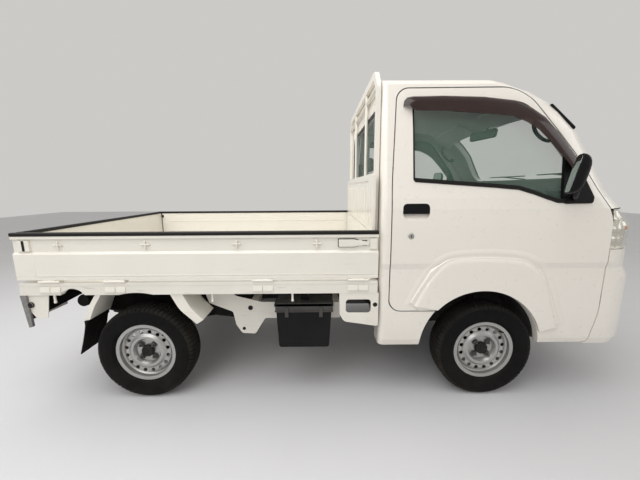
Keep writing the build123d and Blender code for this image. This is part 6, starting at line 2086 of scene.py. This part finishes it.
@dataclass(frozen=True)
class Seat:
    """The driver's seat: a cushion, a backrest and a headrest with sewn channels, and its twin."""

    middle_y: float = -0.335
    deck: float = 0.6686
    half: float = 0.216
    channels: tuple[float, ...] = (-0.115, 0.0, 0.115)

    def span(self, half: float) -> Flat:
        """The distances from the truck's middle between which a form of this half width lies."""
        return (-self.middle_y - half, -self.middle_y + half)

    def sew(self, body: Piece, facing: Vector, length: Flat, axis: int) -> None:
        """Presses the sewn channels into a form's face.

        Args:
            body: The form.
            facing: The direction of the face.
            length: Where the channels start and end.
            axis: The axis that they run along, 0 for X and 2 for Z.
        """
        mesh = body.data
        for vertex in mesh.vertices:
            lean = vertex.normal.dot(facing)
            if lean < 0.5:
                continue
            run = vertex.co[axis]
            fade = min(1.0, max(0.0, (run - length[0]) / 0.03)) * min(1.0, max(0.0, (length[1] - run) / 0.03))
            across = vertex.co.y - self.middle_y
            press = 0.0
            for place in self.channels:
                press += exp(-((across - place) / 0.01) ** 2)
            border = exp(-((abs(across) - 0.172) / 0.009) ** 2)
            vertex.co -= facing * (0.006 * press * fade + 0.007 * border * fade)

    def cushion(self) -> Piece:
        """The seat's cushion."""
        outline = rounded([(0.355, self.deck, 0.01), (0.862, self.deck, 0.03), (0.884, 0.79, 0.04),
                           (0.42, 0.76, 0.04), (0.355, 0.76, 0.02)], 8)
        form = plate("cushion", Facing.SIDE, outline, *self.span(self.half), 0.024)
        stuffing = Stuffing()
        body = stuffing.swell(form, self.deck)
        self.sew(body, Vector((0.0, 0.0, 1.0)), (0.43, 0.86), 0)
        return stuffing.rounded_off(body)

    def backrest(self) -> Piece:
        """The seat's backrest."""
        outline = rounded([(0.406, 0.781, 0.02), (0.34, 0.781, 0.014), (0.297, 1.25, 0.03), (0.342, 1.282, 0.03),
                           (0.375, 1.254, 0.03)], 8)
        form = plate("backrest", Facing.SIDE, outline, *self.span(self.half - 0.01), 0.022)
        stuffing = Stuffing()
        body = stuffing.swell(form, 0.774)
        self.sew(body, Vector((0.99, 0.0, 0.08)).normalized(), (0.8, 1.25), 2)
        return stuffing.rounded_off(body)

    def headrest(self) -> Piece:
        """The seat's headrest."""
        outline = rounded([(0.306, 1.312, 0.018), (0.368, 1.312, 0.018), (0.346, 1.417, 0.026),
                           (0.292, 1.413, 0.026)], 8)
        form = plate("headrest", Facing.SIDE, outline, *self.span(0.112), 0.02)
        stuffing = Stuffing(cap=0.007)
        return stuffing.rounded_off(stuffing.swell(form, 1.305))

    def posts(self) -> Piece:
        """The headrest's two chromed posts and their collars."""
        pieces = []
        for offset in (-0.06, 0.06):
            y = self.middle_y + offset
            pieces.append(lathe("post", [(0.0, 0.0), (0.006, 0.0), (0.006, 0.085), (0.0, 0.085)],
                                (0.334, y, 1.24), (0, 0, 1), 16))
            pieces.append(lathe("collar", [(0.0, 0.0), (0.013, 0.0), (0.012, 0.006), (0.0065, 0.008)],
                                (0.334, y, 1.288), (0, 0, 1), 20))
        return joined("posts", pieces)

    def build(self) -> None:
        """Makes both seats."""
        for name, piece, fill in (("cushion", self.cushion(), 0.8), ("backrest", self.backrest(), 0.8),
                                  ("headrest", self.headrest(), 0.9)):
            other = twin(piece, f"{name}_left")
            piece.name = f"{name}_right"
            for side, node in ((piece, "seat_right"), (other, "seat_left")):
                put(smoothed(side, Stuffing.crease), CLOTH, "truck", [node])
        put_pair(self.posts(), NUT, TRUCK, "headrest_posts")


@dataclass(frozen=True)
class Studio:
    """The pale floor, the soft lights and the photograph's camera."""

    camera_place: Point = (-0.1037, -2.2421, 1.1708)
    yaw: float = 0.26
    pitch: float = 9.84
    roll: float = -0.345
    lens: float = 16.65

    def floor(self) -> None:
        """Lays the floor."""
        half = 14.0
        piece = mesh_piece("floor", [(-half, -half, 0), (half, -half, 0), (half, half, 0), (-half, half, 0)],
                           [(0, 1, 2, 3)])
        finish = Finish("pale_floor", "", (0.62, 0.62, 0.63), 0.55, mottle=0.03, mottle_scale=0.7)
        piece.data.materials.append(finish.material())

    def light(self, name: str, place: Point, target: Point, size: Flat, power: float) -> None:
        """Hangs a soft box.

        Args:
            name: The light's name.
            place: Where it hangs.
            target: The point that it faces.
            size: Its width and height.
            power: Its power in watts.
        """
        lamp = bpy.data.lights.new(name, "AREA")
        lamp.shape = "RECTANGLE"
        lamp.size, lamp.size_y = size
        lamp.energy = power
        holder = shown(name, lamp)
        holder.location = place
        heading = Vector(target) - Vector(place)
        holder.rotation_euler = heading.to_track_quat("-Z", "Y").to_euler()

    def surroundings(self) -> None:
        """Makes the even light from all round."""
        world = bpy.data.worlds.new("studio")
        world.use_nodes = True
        back = world.node_tree.nodes["Background"]
        back.inputs["Color"].default_value = (1.0, 0.985, 0.955, 1.0)
        back.inputs["Strength"].default_value = 0.6
        bpy.context.scene.world = world

    def camera(self) -> None:
        """Sets the camera where the photograph was taken."""
        lens = bpy.data.cameras.new("camera")
        lens.lens = self.lens
        lens.sensor_width = 36.0
        holder = shown("camera", lens)
        tilt = Matrix.Rotation(radians(-self.yaw), 4, "Z")
        tilt = tilt @ Matrix.Rotation(radians(90.0 - self.pitch), 4, "X")
        tilt = tilt @ Matrix.Rotation(radians(self.roll), 4, "Z")
        holder.matrix_world = Matrix.Translation(self.camera_place) @ tilt
        bpy.context.scene.camera = holder

    def build(self) -> None:
        """Sets up the studio."""
        self.floor()
        self.surroundings()
        self.light("ceiling", (-1.5, -0.8, 3.8), (-0.3, 0.0, 0.6), (5.0, 3.4), 130.0)
        self.light("driver_side", (-2.2, -4.2, 3.2), (0.0, 0.0, 0.8), (4.6, 1.8), 50.0)
        self.light("nose", (4.6, -1.6, 2.6), (1.0, 0.0, 0.9), (2.6, 2.2), 20.0)
        self.camera()
        bpy.context.scene.view_settings.view_transform = "Standard"


def main() -> None:
    """Builds the studio and the truck's pieces in order."""
    logging.basicConfig(level=logging.INFO, format="%(message)s")
    Studio().build()
    Paintwork().build()
    for end, x in AXLES:
        for side in Side:
            Wheel(f"wheel_{end}_{side.label}", (x, side.value * HALF_TRACK, HUB_HEIGHT), side).build()
    DoorDress().build()
    DoorMirror().build()
    Flare().build()
    CornerLamp().build()
    Nose().build()
    Seals().build()
    TailLamps().build()
    BedFittings().build()
    UnderBed().build()
    SteeringWheel().build()
    Cabin().build()
    DoorCard().build()
    Seat().build()


if __name__ == "__main__":
    main()
